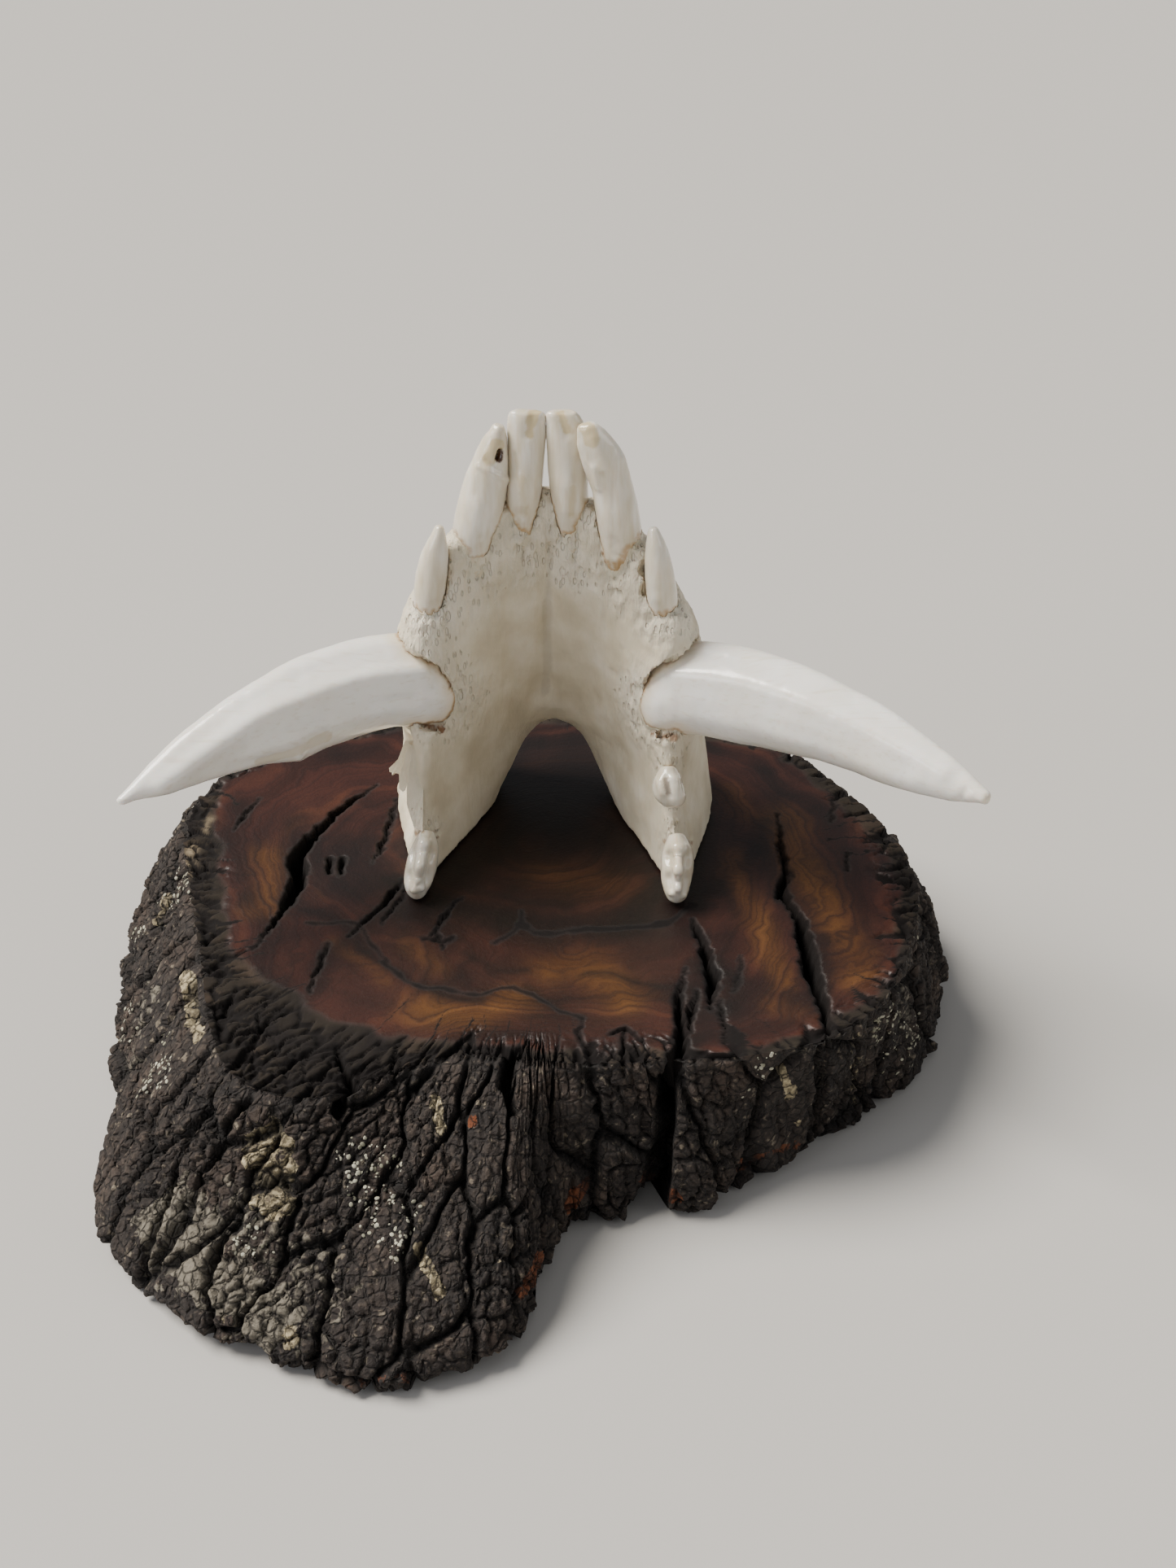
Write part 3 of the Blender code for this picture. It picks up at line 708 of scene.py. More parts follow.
def wall_points():
    """Smooth wall, slope distance from the rim, and a direction outwards."""
    radii = np.column_stack([rim, wall])
    levels = np.append(SLAB_TOP, HEIGHTS)
    steps = np.hypot(np.diff(radii, axis=1), np.diff(levels)[None, :])
    slope = np.concatenate([np.zeros((COLUMNS, 1)), np.cumsum(steps, axis=1)], axis=1)
    parts = np.linspace(0, 1, ROWS)
    radius = np.empty((COLUMNS, ROWS))
    level = np.empty((COLUMNS, ROWS))
    for k in range(COLUMNS):
        radius[k] = np.interp(parts * slope[k, -1], slope[k], radii[k])
        level[k] = np.interp(parts * slope[k, -1], slope[k], levels)
    place = np.empty((COLUMNS, ROWS, 3))
    place[..., :2] = SLAB_MIDDLE + unit[:, None, :] * radius[..., None]
    place[..., 2] = level
    around = np.roll(place, -4, 0) - np.roll(place, 4, 0)
    downwards = np.gradient(place, axis=1)
    out = np.cross(downwards, around)
    out /= np.linalg.norm(out, axis=2)[..., None]
    out = blur_round(out, 6)
    return place, parts[None, :] * slope[:, -1:], out


wall_place, wall_down, wall_out = wall_points()
if np.mean(np.sum(wall_out[:, 60, :2] * unit, axis=1)) < 0:
    wall_out = -wall_out
flat_place = wall_place.reshape(-1, 3)
flat_along = np.repeat(along, ROWS)
flat_down = wall_down.reshape(-1)
relief, hollow = bark_relief(flat_along, flat_down, flat_place)
cut = crack_depth(flat_place[:, :2])[0]
print("bark relief from", round(relief.min(), 1), "to", round(relief.max(), 1), "mm")

# %% [markdown]
# Towards the rim the bark's relief fades into the slope of the sanded edge, so both nets
# share their border points. At the foot, rot and handling have bitten the bark away
# unevenly: the low points are lifted by a random bite, and the last row turns in under
# the slab.

# %% Join it to the rim and bite its foot
FOOT = 0.15  # height of the last row in millimetres
TURNED_IN = 2.5  # how far the last row goes in

relief = relief.reshape(COLUMNS, ROWS)
hollow = hollow.reshape(COLUMNS, ROWS)
cut = cut.reshape(COLUMNS, ROWS)
raised = ramp(wall_down, 0.0, 5.0)
height = (relief + 0.2) * raised - cut * (0.55 + 0.45 * (1 - ramp(wall_down, 0, 30)))
wall_rest = wall_place + wall_out * height[..., None]
rim_depth = wood_depth(wall_place[:, 0, :2], unit, along, np.zeros(COLUMNS))[0]
rim_point = at_rim(wall_place[:, 0, :2], unit, rim_depth)
blend = (1 - ramp(wall_down, 0.0, RIM_TURN))[..., None]
slanted = wall_place + (rim_point - wall_place[:, 0])[:, None, :]
wall_rest = wall_rest * (1 - blend) + slanted * blend
bite = 2.2 * np.clip(rough(on_a_line(along), 7, 3, 101) + 0.3, 0, 1.2)
low = wall_rest[..., 2]
lift = (1 - ramp(low, 0.0, 7.0)) * bite[:, None]
wall_rest[..., 2] = np.clip(low + lift, 0.25, SLAB_TOP)
wall_rest[:, -1, :2] -= unit * TURNED_IN
wall_rest[:, -1, 2] = FOOT
print("lowest point of the bark:", round(wall_rest[..., 2].min(), 2), "mm")

# %% [markdown]
# One net round the whole slab would be very heavy, so the bark is made as a left and a
# right half that share their border columns. How deep in a crack a point lies and how
# far it stands out are kept on the points for the material, which paints shade in the
# cracks and a highlight on the plates that stand out.

# %% Make the bark's two halves
def make_wall(name, first, last):
    columns = np.arange(first, last + 1) % COLUMNS
    points = wall_rest[columns].reshape(-1, 3)
    mesh = net_mesh(name, points, (len(columns), ROWS), upwards=False)
    # how deep in a crack a point lies, which the material paints almost black as shade
    dark = np.clip(hollow[columns] + ramp(cut[columns], 0.5, 4), 0, 1)
    put_attribute(mesh, "hollow", dark.ravel())
    # how far a point stands out, which the material paints lighter as a highlight
    put_attribute(mesh, "height", relief[columns].ravel())
    print(name, "faces:", len(mesh.polygons))
    return new_object(name, mesh)


bark_left = make_wall("bark_left", 0, COLUMNS // 2)
bark_right = make_wall("bark_right", COLUMNS // 2, COLUMNS)

# %% [markdown]
# The underside was sawn flat. It is a simple fan of rings that ends where the bark
# turns in.

# %% The sawn underside
RINGS = 8
foot = wall_rest[:, -1]
rings = [np.column_stack([
    SLAB_MIDDLE + (foot[:, :2] - SLAB_MIDDLE) * (k / RINGS), np.full(COLUMNS, FOOT * k / RINGS)
]) for k in range(RINGS, 0, -1)]
points = np.concatenate(rings + [[[*SLAB_MIDDLE, 0.0]]])
faces = []
for k in range(RINGS - 1):
    for i in range(COLUMNS):
        j = (i + 1) % COLUMNS
        a, b = k * COLUMNS, (k + 1) * COLUMNS
        faces.append((a + i, b + i, b + j, a + j))
centre = RINGS * COLUMNS
inner = (RINGS - 1) * COLUMNS
faces += [(inner + i, centre, inner + (i + 1) % COLUMNS) for i in range(COLUMNS)]
mesh = bpy.data.meshes.new("slab_underside")
mesh.from_pydata((points * MM).tolist(), [], faces)
slab_underside = new_object("slab_underside", mesh)
print("underside faces:", len(faces))

# %% [markdown]
# ## Teeth and tusks
# A tooth is smooth, but not a plain tapered rod: it has ridges, worn facets and folds
# at the gum. The solid of each is rounded by subdivision, turned into an even net of
# small squares, and then carved with soft strokes. A stroke is drawn in the picture,
# and a ray from the camera finds each of its points on the surface.

# %% Strokes on a surface
def tree_of(mesh):
    return BVHTree.FromPolygons(
        [v.co for v in mesh.vertices], [tuple(p.vertices) for p in mesh.polygons]
    )


def seen(tree, across, down):
    """The point of a surface at a place in the picture, or None."""
    hit = tree.ray_cast(EYE, sight(across, down).normalized())
    return None if hit[0] is None else np.array(hit[0]) / MM


def stroke_distance(points, tree, picture_line):
    """Distance of each point to a line that is drawn in the picture."""
    line = smooth_line(picture_line, 6) if len(picture_line) > 1 else np.array(picture_line)
    hits = [seen(tree, *place) for place in line]
    hits = [h for h in hits if h is not None]
    best = np.full(len(points), 1e3)
    for a, b in zip(hits[:-1] or hits, hits[1:] or hits):
        if np.linalg.norm(b - a) > 8:  # the line left the surface and came back elsewhere
            a = b
        span = b - a
        part = np.clip((points - a) @ span / max(span @ span, 1e-9), 0, 1)
        best = np.minimum(best, np.linalg.norm(points - a - part[:, None] * span, axis=1))
    return best


def carve(mesh, strokes):
    """Raises or lowers a surface along strokes of a width and height in millimetres."""
    tree = tree_of(mesh)
    points = points_of(mesh)
    normals = normals_of(mesh)
    rise = np.zeros(len(points))
    for line, width, height in strokes:
        rise += height * np.exp(-((stroke_distance(points, tree, line) / width) ** 2))
    put_points(mesh, points + normals * rise[:, None])


def stain(mesh, name, strokes):
    """Keeps soft coloured areas as an attribute from 0 to 1."""
    tree = tree_of(mesh)
    points = points_of(mesh)
    flat = 0.45 * rough(points, 3.0, 4, 111)
    values = np.zeros(len(points))
    for line, width, strength in strokes:
        near = stroke_distance(points, tree, line) / width + flat
        values = np.maximum(values, strength * (1 - ramp(near, 0.7, 1.0)))
    put_attribute(mesh, name, values)


print("the slab in front of the jaw:", np.round(seen(slab_tree, 722, 1250), 1), "mm")

# %% [markdown]
# A rounded solid is smaller than the one it came from, and plain smoothing shrinks it
# further. So smoothing is a step in and a slightly larger step out, and afterwards each
# tooth is swollen back to its solid. The whole has to stay in the box of the solids.

# %% Even nets, smoothing and size
NET = {"tusk": 0.45, "tooth": 0.3, "bone": 0.6}  # width of a square in millimetres
MARGIN = 0.02  # mm that is left to the box of the solids


def keep_inside(mesh):
    """Holds a surface inside the box of the solids."""
    low, high = (np.array(corner) / MM for corner in cad_box)
    put_points(mesh, np.clip(points_of(mesh), low + MARGIN, high - MARGIN))


def neighbour_mean(mesh):
    """A function that averages values over each point's neighbours."""
    ends = np.empty(len(mesh.edges) * 2, np.int64)
    mesh.edges.foreach_get("vertices", ends)
    a, b = ends.reshape(-1, 2).T
    count = np.bincount(ends, minlength=len(mesh.vertices))

    def mean(values):
        total = np.zeros_like(values)
        for k in range(values.shape[1]):
            total[:, k] = np.bincount(a, values[b, k], len(values))
            total[:, k] += np.bincount(b, values[a, k], len(values))
        return total / count[:, None]

    return mean


def relax(mesh, rounds, share=1.0):
    """Smooths a surface without shrinking it: a step in, then a slightly larger step out."""
    mean = neighbour_mean(mesh)
    points = points_of(mesh)
    share = np.broadcast_to(share, len(points))[:, None]
    for _ in range(rounds):
        points = points + 0.5 * share * (mean(points) - points)
        points = points - 0.52 * share * (mean(points) - points)
    put_points(mesh, points)


def even_net(thing, size, levels):
    """Rounds a piece and gives it an even net of squares of the given size."""
    if levels:
        rounder = thing.modifiers.new("round", "SUBSURF")
        rounder.levels = rounder.render_levels = levels
    remesh = thing.modifiers.new("net", "REMESH")
    remesh.mode = "VOXEL"
    remesh.voxel_size = size * MM
    return settle(thing)


def swell_to(mesh, tree):
    """Gives a rounded piece back the size of its solid, without the flat facets."""
    mean = neighbour_mean(mesh)
    for _ in range(2):
        points = points_of(mesh)
        nearest = np.array([tree.find_nearest(p * MM)[0] for p in points]) / MM
        short = np.sum((nearest - points) * normals_of(mesh), axis=1)[:, None]
        for _ in range(14):
            short = mean(short)
        put_points(mesh, points + normals_of(mesh) * short)


print("squares, mm:", NET)

# %% [markdown]
# No two teeth are alike, so the two sides of each are set to where they stand in the
# picture, row by row, and what lies in between follows smoothly. A tusk lies across the
# picture, so its sides are its upper and its lower edge.

# %% Outlines of the teeth in the picture
EDGE = 2  # pixels by which the outermost points of both sides lie inside the outline
OUTLINES = {
    # tusks: place across the picture, upper edge, lower edge
    "tusk_left": [
        (151, 974, 986), (165, 957, 984), (187, 933, 980), (208, 912, 976), (240, 886, 965),
        (267, 865, 956), (300, 844, 946), (325, 829, 939), (355, 812, 936), (369, 806, 935),
        (399, 796, 920), (443, 784, 904), (487, 779, 892), (513, 777, 892), (532, 782, 893),
        (548, 800, 890),
    ],
    "tusk_right": [
        (798, 806, 902), (815, 791, 904), (833, 787, 903), (856, 788, 902), (912, 794, 914),
        (960, 808, 924), (1006, 825, 934), (1050, 847, 949), (1085, 865, 963), (1103, 877, 969),
        (1140, 905, 978), (1167, 925, 984), (1190, 946, 986), (1204, 961, 987), (1215, 971, 988),
    ],
    # front teeth: place down the picture, left side, right side
    "incisor_1_left": [
        (506, 626, 669), (520, 624, 670), (537, 624, 670), (575, 624, 667), (604, 622, 665),
        (629, 621, 662), (643, 622, 660),
    ],
    "incisor_1_right": [
        (506, 671, 709), (520, 672, 717), (537, 672, 719), (575, 674, 721), (604, 677, 722),
        (629, 680, 723), (650, 684, 723),
    ],
    "incisor_2_left": [
        (529, 602, 619), (536, 594, 622), (559, 583, 623), (581, 573, 624), (604, 566, 622),
        (633, 559, 617), (661, 556, 608), (679, 556, 602),
    ],
    "incisor_2_right": [
        (519, 713, 733), (527, 710, 744), (547, 710, 761), (564, 714, 769), (584, 721, 774),
        (604, 728, 779), (633, 733, 785), (661, 737, 789), (687, 740, 791),
    ],
    "incisor_3_left": [
        (656, 530, 547), (676, 519, 550), (704, 511, 549), (733, 509, 546), (749, 509, 543),
    ],
    "incisor_3_right": [
        (656, 796, 813), (676, 794, 821), (704, 793, 828), (733, 795, 832), (756, 799, 833),
    ],
    "premolar_1_right": [(962, 803, 838), (975, 803, 842), (988, 810, 842)],
    "premolar_2_left": [(1035, 508, 538), (1060, 500, 537), (1080, 497, 532), (1095, 498, 526)],
    "premolar_2_right": [(1045, 815, 851), (1070, 813, 851), (1090, 815, 847), (1103, 819, 844)],
}


def in_picture(points):
    """Where points appear in the picture, and how far away they are."""
    off = points - np.array(EYE) / MM
    away = off @ np.array(AHEAD)
    across = MIDDLE_ACROSS + FOCUS * off[:, 0] / away
    down = MIDDLE_DOWN - FOCUS * (off @ np.array(UP)) / away
    return across, down, away


def fit_outline(mesh, rows, upright):
    """Stretches a piece sideways, or up and down, to its two outlines in the picture."""
    points = points_of(mesh)
    across, down, away = in_picture(points)
    place, value = (down, across) if upright else (across, down)
    way = np.array((1, 0, 0)) if upright else -np.array(UP)
    table = []
    for at, first, last in rows:
        near = value[np.abs(place - at) < 3]
        if len(near) > 8:
            low, high = near.min(), near.max()
            wider = (last - first + EDGE) / (high - low)
            table.append((at, (low + high) / 2, (first + last) / 2, np.clip(wider, 0.8, 2.4)))
    at, *columns = np.array(table).T
    was, now, factor = (np.interp(place, at, values) for values in columns)
    moved = now + (value - was) * factor
    put_points(mesh, points + ((moved - value) * away / FOCUS)[:, None] * way)
    return factor.min(), factor.max()


print("rows in the outlines:", sum(len(rows) for rows in OUTLINES.values()))

# %% [markdown]
# A tusk or tooth begins as its solid, a plain faceted rod. Subdividing rounds it, the
# even net gives its strokes fine and equal squares, and a small step outwards gives back
# what the rounding took off the ridges. Then its outline is fitted.

# %% Round the teeth and give them an even net
TEETH = [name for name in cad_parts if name.startswith(("tusk", "incisor", "premolar"))]
LOST = 0.2  # mm that the rounding takes off
teeth = {}
for name in TEETH:
    size = NET["tusk" if name.startswith("tusk") else "tooth"]
    teeth[name] = merged_copy(name, name + "_fine")
    solid = tree_of(teeth[name].data)
    mesh = even_net(teeth[name], size, 2)
    relax(mesh, 6)
    swell_to(mesh, solid)
    put_points(mesh, points_of(mesh) + LOST * normals_of(mesh))
    if name in OUTLINES:
        upright = not name.startswith("tusk")
        stretch = fit_outline(mesh, OUTLINES[name], upright)
        print(name, "stretched by", [round(f, 2) for f in stretch])
    print(name, "squares:", len(mesh.polygons))

# %% [markdown]
# The lower tusks of a boar are three-sided: a ridge runs along the face that looks
# forward, with a shallow hollow below it, and the upper edge has a bevel that grinds
# against the upper tusk. Near the tip, use has left a few flats.

# %% Carve the tusks
TUSK_STROKES = {
    # line in the picture, half width and height in millimetres
    "tusk_left": [
        ([(520, 825), (443, 834), (384, 853), (325, 878), (281, 907), (237, 939),
          (199, 966)], 2.0, 0.75),
        ([(505, 858), (440, 866), (380, 884), (330, 906), (290, 928), (250, 950)], 2.4, -0.45),
        ([(515, 800), (443, 808), (370, 830), (290, 872), (215, 932), (170, 972)], 2.2, -0.3),
        ([(400, 902), (360, 922), (325, 932), (285, 942)], 1.2, -0.35),
        ([(372, 926), (366, 937)], 1.0, 0.3),
    ],
    "tusk_right": [
        ([(826, 826), (900, 834), (985, 860), (1060, 893), (1120, 925), (1160, 948)], 2.0, 0.7),
        ([(835, 862), (905, 872), (985, 898), (1050, 922), (1110, 948)], 2.4, -0.4),
        ([(830, 800), (910, 808), (1000, 838), (1078, 876), (1150, 924)], 2.2, -0.3),
        ([(1181, 982), (1186, 972)], 0.9, -0.3),
    ],
}
for name, strokes in TUSK_STROKES.items():
    carve(teeth[name].data, strokes)
print("strokes on the tusks:", sum(len(strokes) for strokes in TUSK_STROKES.values()))

# %% [markdown]
# The incisors end in chisel edges with a worn, darker core and a white rim. A fine groove
# runs down each, and it swells towards its root. The second one on the left of the
# picture has a deep brown hole. The second premolars are blades, so these are narrowed
# and their edge is cut into points before they get their folds.

# %% Carve the front teeth and premolars
def sharpen(mesh, cusps):
    """Narrows a premolar to a blade and cuts its edge into points."""
    points = points_of(mesh)
    height = points @ -np.array(AHEAD)
    length = points @ np.array(UP)
    middle = (points[:, 0].min() + points[:, 0].max()) / 2
    crown = ramp(height, *np.quantile(height, (0.45, 1.0)))
    part = (length - length.min()) / (length.max() - length.min())
    notch = 0.5 + 0.5 * np.cos(2 * math.pi * cusps * part)
    points[:, 0] += (middle - points[:, 0]) * 0.4 * crown
    drop = crown * (1.5 * notch * (1 - (2 * part - 1) ** 4) + 0.8 * (2 * part - 1) ** 2)
    put_points(mesh, points + drop[:, None] * np.array(AHEAD))


TOOTH_STROKES = {
    # the same for the small teeth
    "incisor_1_left": [
        ([(655, 512), (648, 535)], 1.1, -0.45), ([(632, 560), (636, 600), (640, 630)], 0.9, -0.25),
        ([(640, 596), (640, 618)], 3.0, 0.8),
    ],
    "incisor_1_right": [
        ([(690, 512), (697, 535)], 1.1, -0.45), ([(712, 560), (706, 600), (702, 632)], 0.9, -0.25),
        ([(699, 600), (702, 624)], 3.0, 0.8),
    ],
    "incisor_2_left": [
        ([(615, 556), (613, 563)], 0.6, -2.0), ([(588, 572), (606, 582), (624, 590)], 0.8, 0.45),
        ([(600, 566), (612, 578)], 1.0, -0.3),
        ([(596, 620), (590, 660)], 0.8, -0.2), ([(588, 630), (578, 658)], 3.6, 0.7),
    ],
    "incisor_2_right": [
        ([(730, 540), (742, 575)], 1.4, 0.5), ([(752, 590), (756, 640), (758, 680)], 0.9, -0.3),
        ([(730, 575), (735, 600)], 0.9, 0.4), ([(760, 640), (764, 684)], 4.0, 0.8),
    ],
    "premolar_1_right": [
        ([(819, 956), (823, 978)], 0.7, -0.4), ([(810, 962), (814, 974)], 1.1, 0.4),
        ([(830, 960), (833, 986)], 1.3, 0.8), ([(824, 956)], 0.8, 0.3),
    ],
    "premolar_2_left": [
        ([(522, 1034), (520, 1046)], 1.6, 0.7), ([(518, 1052), (514, 1080)], 1.0, 0.7),
        ([(506, 1048), (503, 1080)], 1.0, -0.6), ([(530, 1050), (525, 1084)], 0.8, -0.5),
        ([(508, 1094)], 0.8, 0.7), ([(519, 1092)], 0.7, 0.5), ([(514, 1088)], 0.5, -0.5),
    ],
    "premolar_2_right": [
        ([(830, 1040), (840, 1044)], 1.6, 0.5), ([(833, 1052), (833, 1092)], 0.9, 0.8),
        ([(821, 1052), (824, 1092)], 1.0, -0.6), ([(845, 1054), (842, 1092)], 0.9, -0.55),
        ([(833, 1070)], 0.9, 0.5), ([(824, 1098)], 0.7, 0.5), ([(841, 1100)], 0.7, 0.5),
    ],
}
for name in ("premolar_2_left", "premolar_2_right"):
    sharpen(teeth[name].data, 3)
for name, strokes in TOOTH_STROKES.items():
    carve(teeth[name].data, strokes)
for tooth in teeth.values():
    points = points_of(tooth.data)
    rise = 0.05 * rough(points, 3.5, 2, 121) + 0.02 * rough(points, 1.1, 2, 122)
    put_points(tooth.data, points + normals_of(tooth.data) * rise[:, None])
    keep_inside(tooth.data)
print("carved:", ", ".join(teeth))

# %% [markdown]
# ## The jaw bone
# Bleached bone is a sponge under a thin skin. Where the skin is worn, round the
# sockets and between the front teeth, it shows open pores and crumbled edges, while
# the trough behind stays smooth. The solid is given an even net, smoothed strongly
# away from the teeth and hardly at all near them, and roughened where the real one is.

# %% An even net for the bone
FILLED = [
    # bone that closes round the foot of a tooth: place in the picture, radius in millimetres
    (638, 662, 2.1), (637, 652, 1.2), (703, 666, 2.0), (704, 658, 1.2), (591, 692, 1.9),
    (586, 690, 1.6),
]
UNDER_SKIN = np.array([0, 1.1, 0.9])  # mm from the face of the bone to a ball's middle


def nearest_of(targets):
    """A search tree that finds the nearest of the targets."""
    near = KDTree(len(targets))
    for k, target in enumerate(targets):
        near.insert(target, k)
    near.balance()
    return near


def distances(points, targets):
    """Distance from each point to the nearest target."""
    near = nearest_of(targets)
    return np.array([near.find(p)[2] for p in points])


jaw = merged_copy("jaw_bone", "jaw_bone_fine")
jaw_tree = tree_of(jaw.data)
bm = bmesh.new()
bm.from_mesh(jaw.data)
for across, down, radius in FILLED:
    front = seen(jaw_tree, across, down + 6)  # a little lower, where the ray meets bone
    place = Vector(front + UNDER_SKIN) * MM
    ball = bmesh.ops.create_icosphere(bm, subdivisions=2, radius=radius * MM)
    bmesh.ops.translate(bm, verts=ball["verts"], vec=place)
bm.to_mesh(jaw.data)
bm.free()
jaw_mesh = even_net(jaw, NET["bone"], 0)
tooth_points = np.concatenate([points_of(tooth.data)[::2] for tooth in teeth.values()])
gap = distances(points_of(jaw_mesh), tooth_points)
relax(jaw_mesh, 10, 0.5)
relax(jaw_mesh, 60, ramp(gap, 1.0, 6.0))
print("squares in the bone:", len(jaw_mesh.polygons))

# %% [markdown]
# The outer skin of the left leg broke away in thin upright splinters. They are cut as
# plates with jagged outlines, in a dent of the leg, because a net of squares would
# round such sharp edges off.

# %% Splinters beside the left leg
SPLINTERS = [
    # outline in the picture, distance behind the front of the leg in millimetres
    ([(498, 910), (489, 933), (478, 944), (478.5, 949), (490, 951), (497, 940), (505, 925),
      (508, 910)], 2.6),
    ([(502, 914), (495, 938), (490, 952), (490.5, 969), (495, 973.5), (498, 971), (506, 950),
      (511, 918)], 1.8),
    ([(508, 912), (501, 950), (499.5, 972), (500, 989), (504, 1004), (509, 1017), (518, 1020),
      (520, 960), (514, 914)], 1.0),
]
SPLINTER_THICKNESS = 0.8
carve(jaw_mesh, [
    ([(500, 916), (496, 935), (494, 955), (496, 975), (501, 1000)], 4.2, -3.8),
    ([(843, 925), (841, 960), (842, 990), (849, 1030)], 0.8, -0.8),
])
bm = bmesh.new()
bm.from_mesh(jaw_mesh)
front = (seen(jaw_tree, 520, 960) - np.array(EYE) / MM) @ np.array(AHEAD)
for outline, behind in SPLINTERS:
    count = len(outline)
    corners = []
    for layer in (0, SPLINTER_THICKNESS):
        for across, down in outline:
            tilt = 0.06 * (516 - across)  # the outer edge stands further back
            far = front + behind + layer + tilt
            corners.append(bm.verts.new(EYE + sight(across, down) * far * MM))
    sides = [(k, count + k, count + (k + 1) % count, (k + 1) % count) for k in range(count)]
    made = [bm.faces.new([corners[k] for k in side]) for side in sides]
    made.append(bm.faces.new(corners[:count][::-1]))
    made.append(bm.faces.new(corners[count:]))
    bmesh.ops.recalc_face_normals(bm, faces=made)
    bmesh.ops.triangulate(bm, faces=made)
bm.to_mesh(jaw_mesh)
bm.free()
gap = distances(points_of(jaw_mesh), tooth_points)
print("splinters:", len(SPLINTERS))

# %% [markdown]
# The skin has crumbled round the sockets, and the front face is pitted along its grain.
# Down the middle runs the line where the two halves of the jaw grew together. The pits
# are pressed in along the surface's own direction, so their sides stay steep.

# %% Crumbled sockets, pores and the line where the two halves grew together
points = points_of(jaw_mesh)
normals = normals_of(jaw_mesh)
by_socket = 1 - ramp(gap, 1.5, 7.0)
front_face = ramp(-normals[:, 1] + 0.4 * normals[:, 2], 0.1, 0.6)
rise = 0.20 * rough(points, 8, 3, 131) + 0.10 * rough(points * (1, 1, 0.12), 1.6, 2, 136)
rise -= by_socket * 0.6 * np.abs(rough(points * (1, 1, 0.5), 1.7, 2, 132))
pits = ramp(lumps(points * (1, 0.5, 0.5), 1.3, 133), 0.45, 0.9)
rise -= 0.5 * pits * (0.35 + by_socket) * front_face
put_points(jaw_mesh, points + normals * rise[:, None])
carve(jaw_mesh, [
    ([(674, 640), (675, 690), (673, 740), (672, 790)], 0.9, -0.45),
    ([(520, 889), (545, 896)], 1.0, -1.4), ([(802, 903), (826, 906)], 1.0, -1.4),
    ([(674, 680), (673, 740), (672, 800), (668, 850)], 2.6, -1.3),
    ([(640, 700), (636, 760), (625, 820)], 2.5, -0.35),
    ([(712, 710), (716, 770), (722, 830)], 2.5, -0.35),
    ([(560, 760), (575, 800), (580, 850)], 2.2, 0.4),
])
print("deepest pit:", round(rise.min(), 1), "mm")

# %% [markdown]
# The back of the jaw is the animal's chin. It is smooth, with a few small holes where
# blood vessels went in, and the same line shows in its middle as a faint groove.

# %% Vessel holes and the groove of the chin
VESSELS = [
    # a hole for a blood vessel: where the ray starts, its direction, radius, depth
    ((-12, 200, 84), (0, -1, 0), 1.0, 1.3), ((15, 200, 88), (0, -1, 0), 0.9, 1.2),
    ((-19, 200, 70), (0, -1, 0), 1.3, 1.6), ((22, 200, 73), (0, -1, 0), 1.2, 1.6),
    ((2, 200, 92), (0, -1, 0), 0.8, 1.0), ((9, 200, 66), (0, -1, 0), 0.9, 1.1),
    ((-200, 47, 62), (1, 0, 0), 1.4, 2.0), ((-200, 49, 76), (1, 0, 0), 1.0, 1.4),
    ((200, 47, 60), (-1, 0, 0), 1.4, 2.0), ((200, 48, 78), (-1, 0, 0), 1.0, 1.4),
]
tree = tree_of(jaw_mesh)
points = points_of(jaw_mesh)
normals = normals_of(jaw_mesh)
rise = np.zeros(len(points))
for start, way, radius, depth in VESSELS:
    hit = tree.ray_cast(Vector(start) * MM, Vector(way))[0]
    if hit is not None:
        far = np.linalg.norm((points - np.array(hit) / MM) * (1, 1, 0.7), axis=1)
        rise -= depth * (1 - ramp(far, 0.6 * radius, 1.5 * radius))
behind = ramp(normals[:, 1], 0.2, 0.7)
rise -= 0.5 * behind * np.exp(-(((points[:, 0] - 4.6 + 0.6 * lumps(points, 6, 137)) / 0.7) ** 2))
put_points(jaw_mesh, points + normals * rise[:, None])
print("vessel holes:", len(VESSELS))

# %% [markdown]
# Living bone holds a tooth with hardly a gap, but the net is too coarse to follow every
# tooth so closely. So the bone's nearest points are drawn to the tooth until a tenth of
# a millimetre is left. How near bone and teeth are is kept on both, because grease and
# old cement have stained them there.

# %% Close the bone round the teeth
LEFT_OPEN, DRAWN, UNTOUCHED = 0.1, 0.8, 1.4  # mm from the tooth
near = nearest_of(tooth_points)
points = points_of(jaw_mesh)
for k, place in enumerate(points):
    tooth_place, _, far = near.find(place)
    if LEFT_OPEN < far < UNTOUCHED:
        step = (np.array(tooth_place) - place) * (1 - LEFT_OPEN / far)
        points[k] += step * (1 - ramp(far, DRAWN, UNTOUCHED))
put_points(jaw_mesh, points)

pitted = np.clip(by_socket + 0.35 * lumps(points, 9, 134), 0, 1) * (0.55 + 0.45 * front_face)
put_attribute(jaw_mesh, "tooth_gap", gap)
put_attribute(jaw_mesh, "pitting", pitted)
jaw_points = points_of(jaw_mesh)[::2]
for tooth in teeth.values():
    put_attribute(tooth.data, "bone_gap", distances(points_of(tooth.data), jaw_points))
print("points by the sockets:", int((by_socket > 0.5).sum()))

# %% [markdown]
# Worn and stained places on the teeth are kept as soft areas too: the yellow core that
# shows where an edge is ground down, and the brown of old cement in the holes.

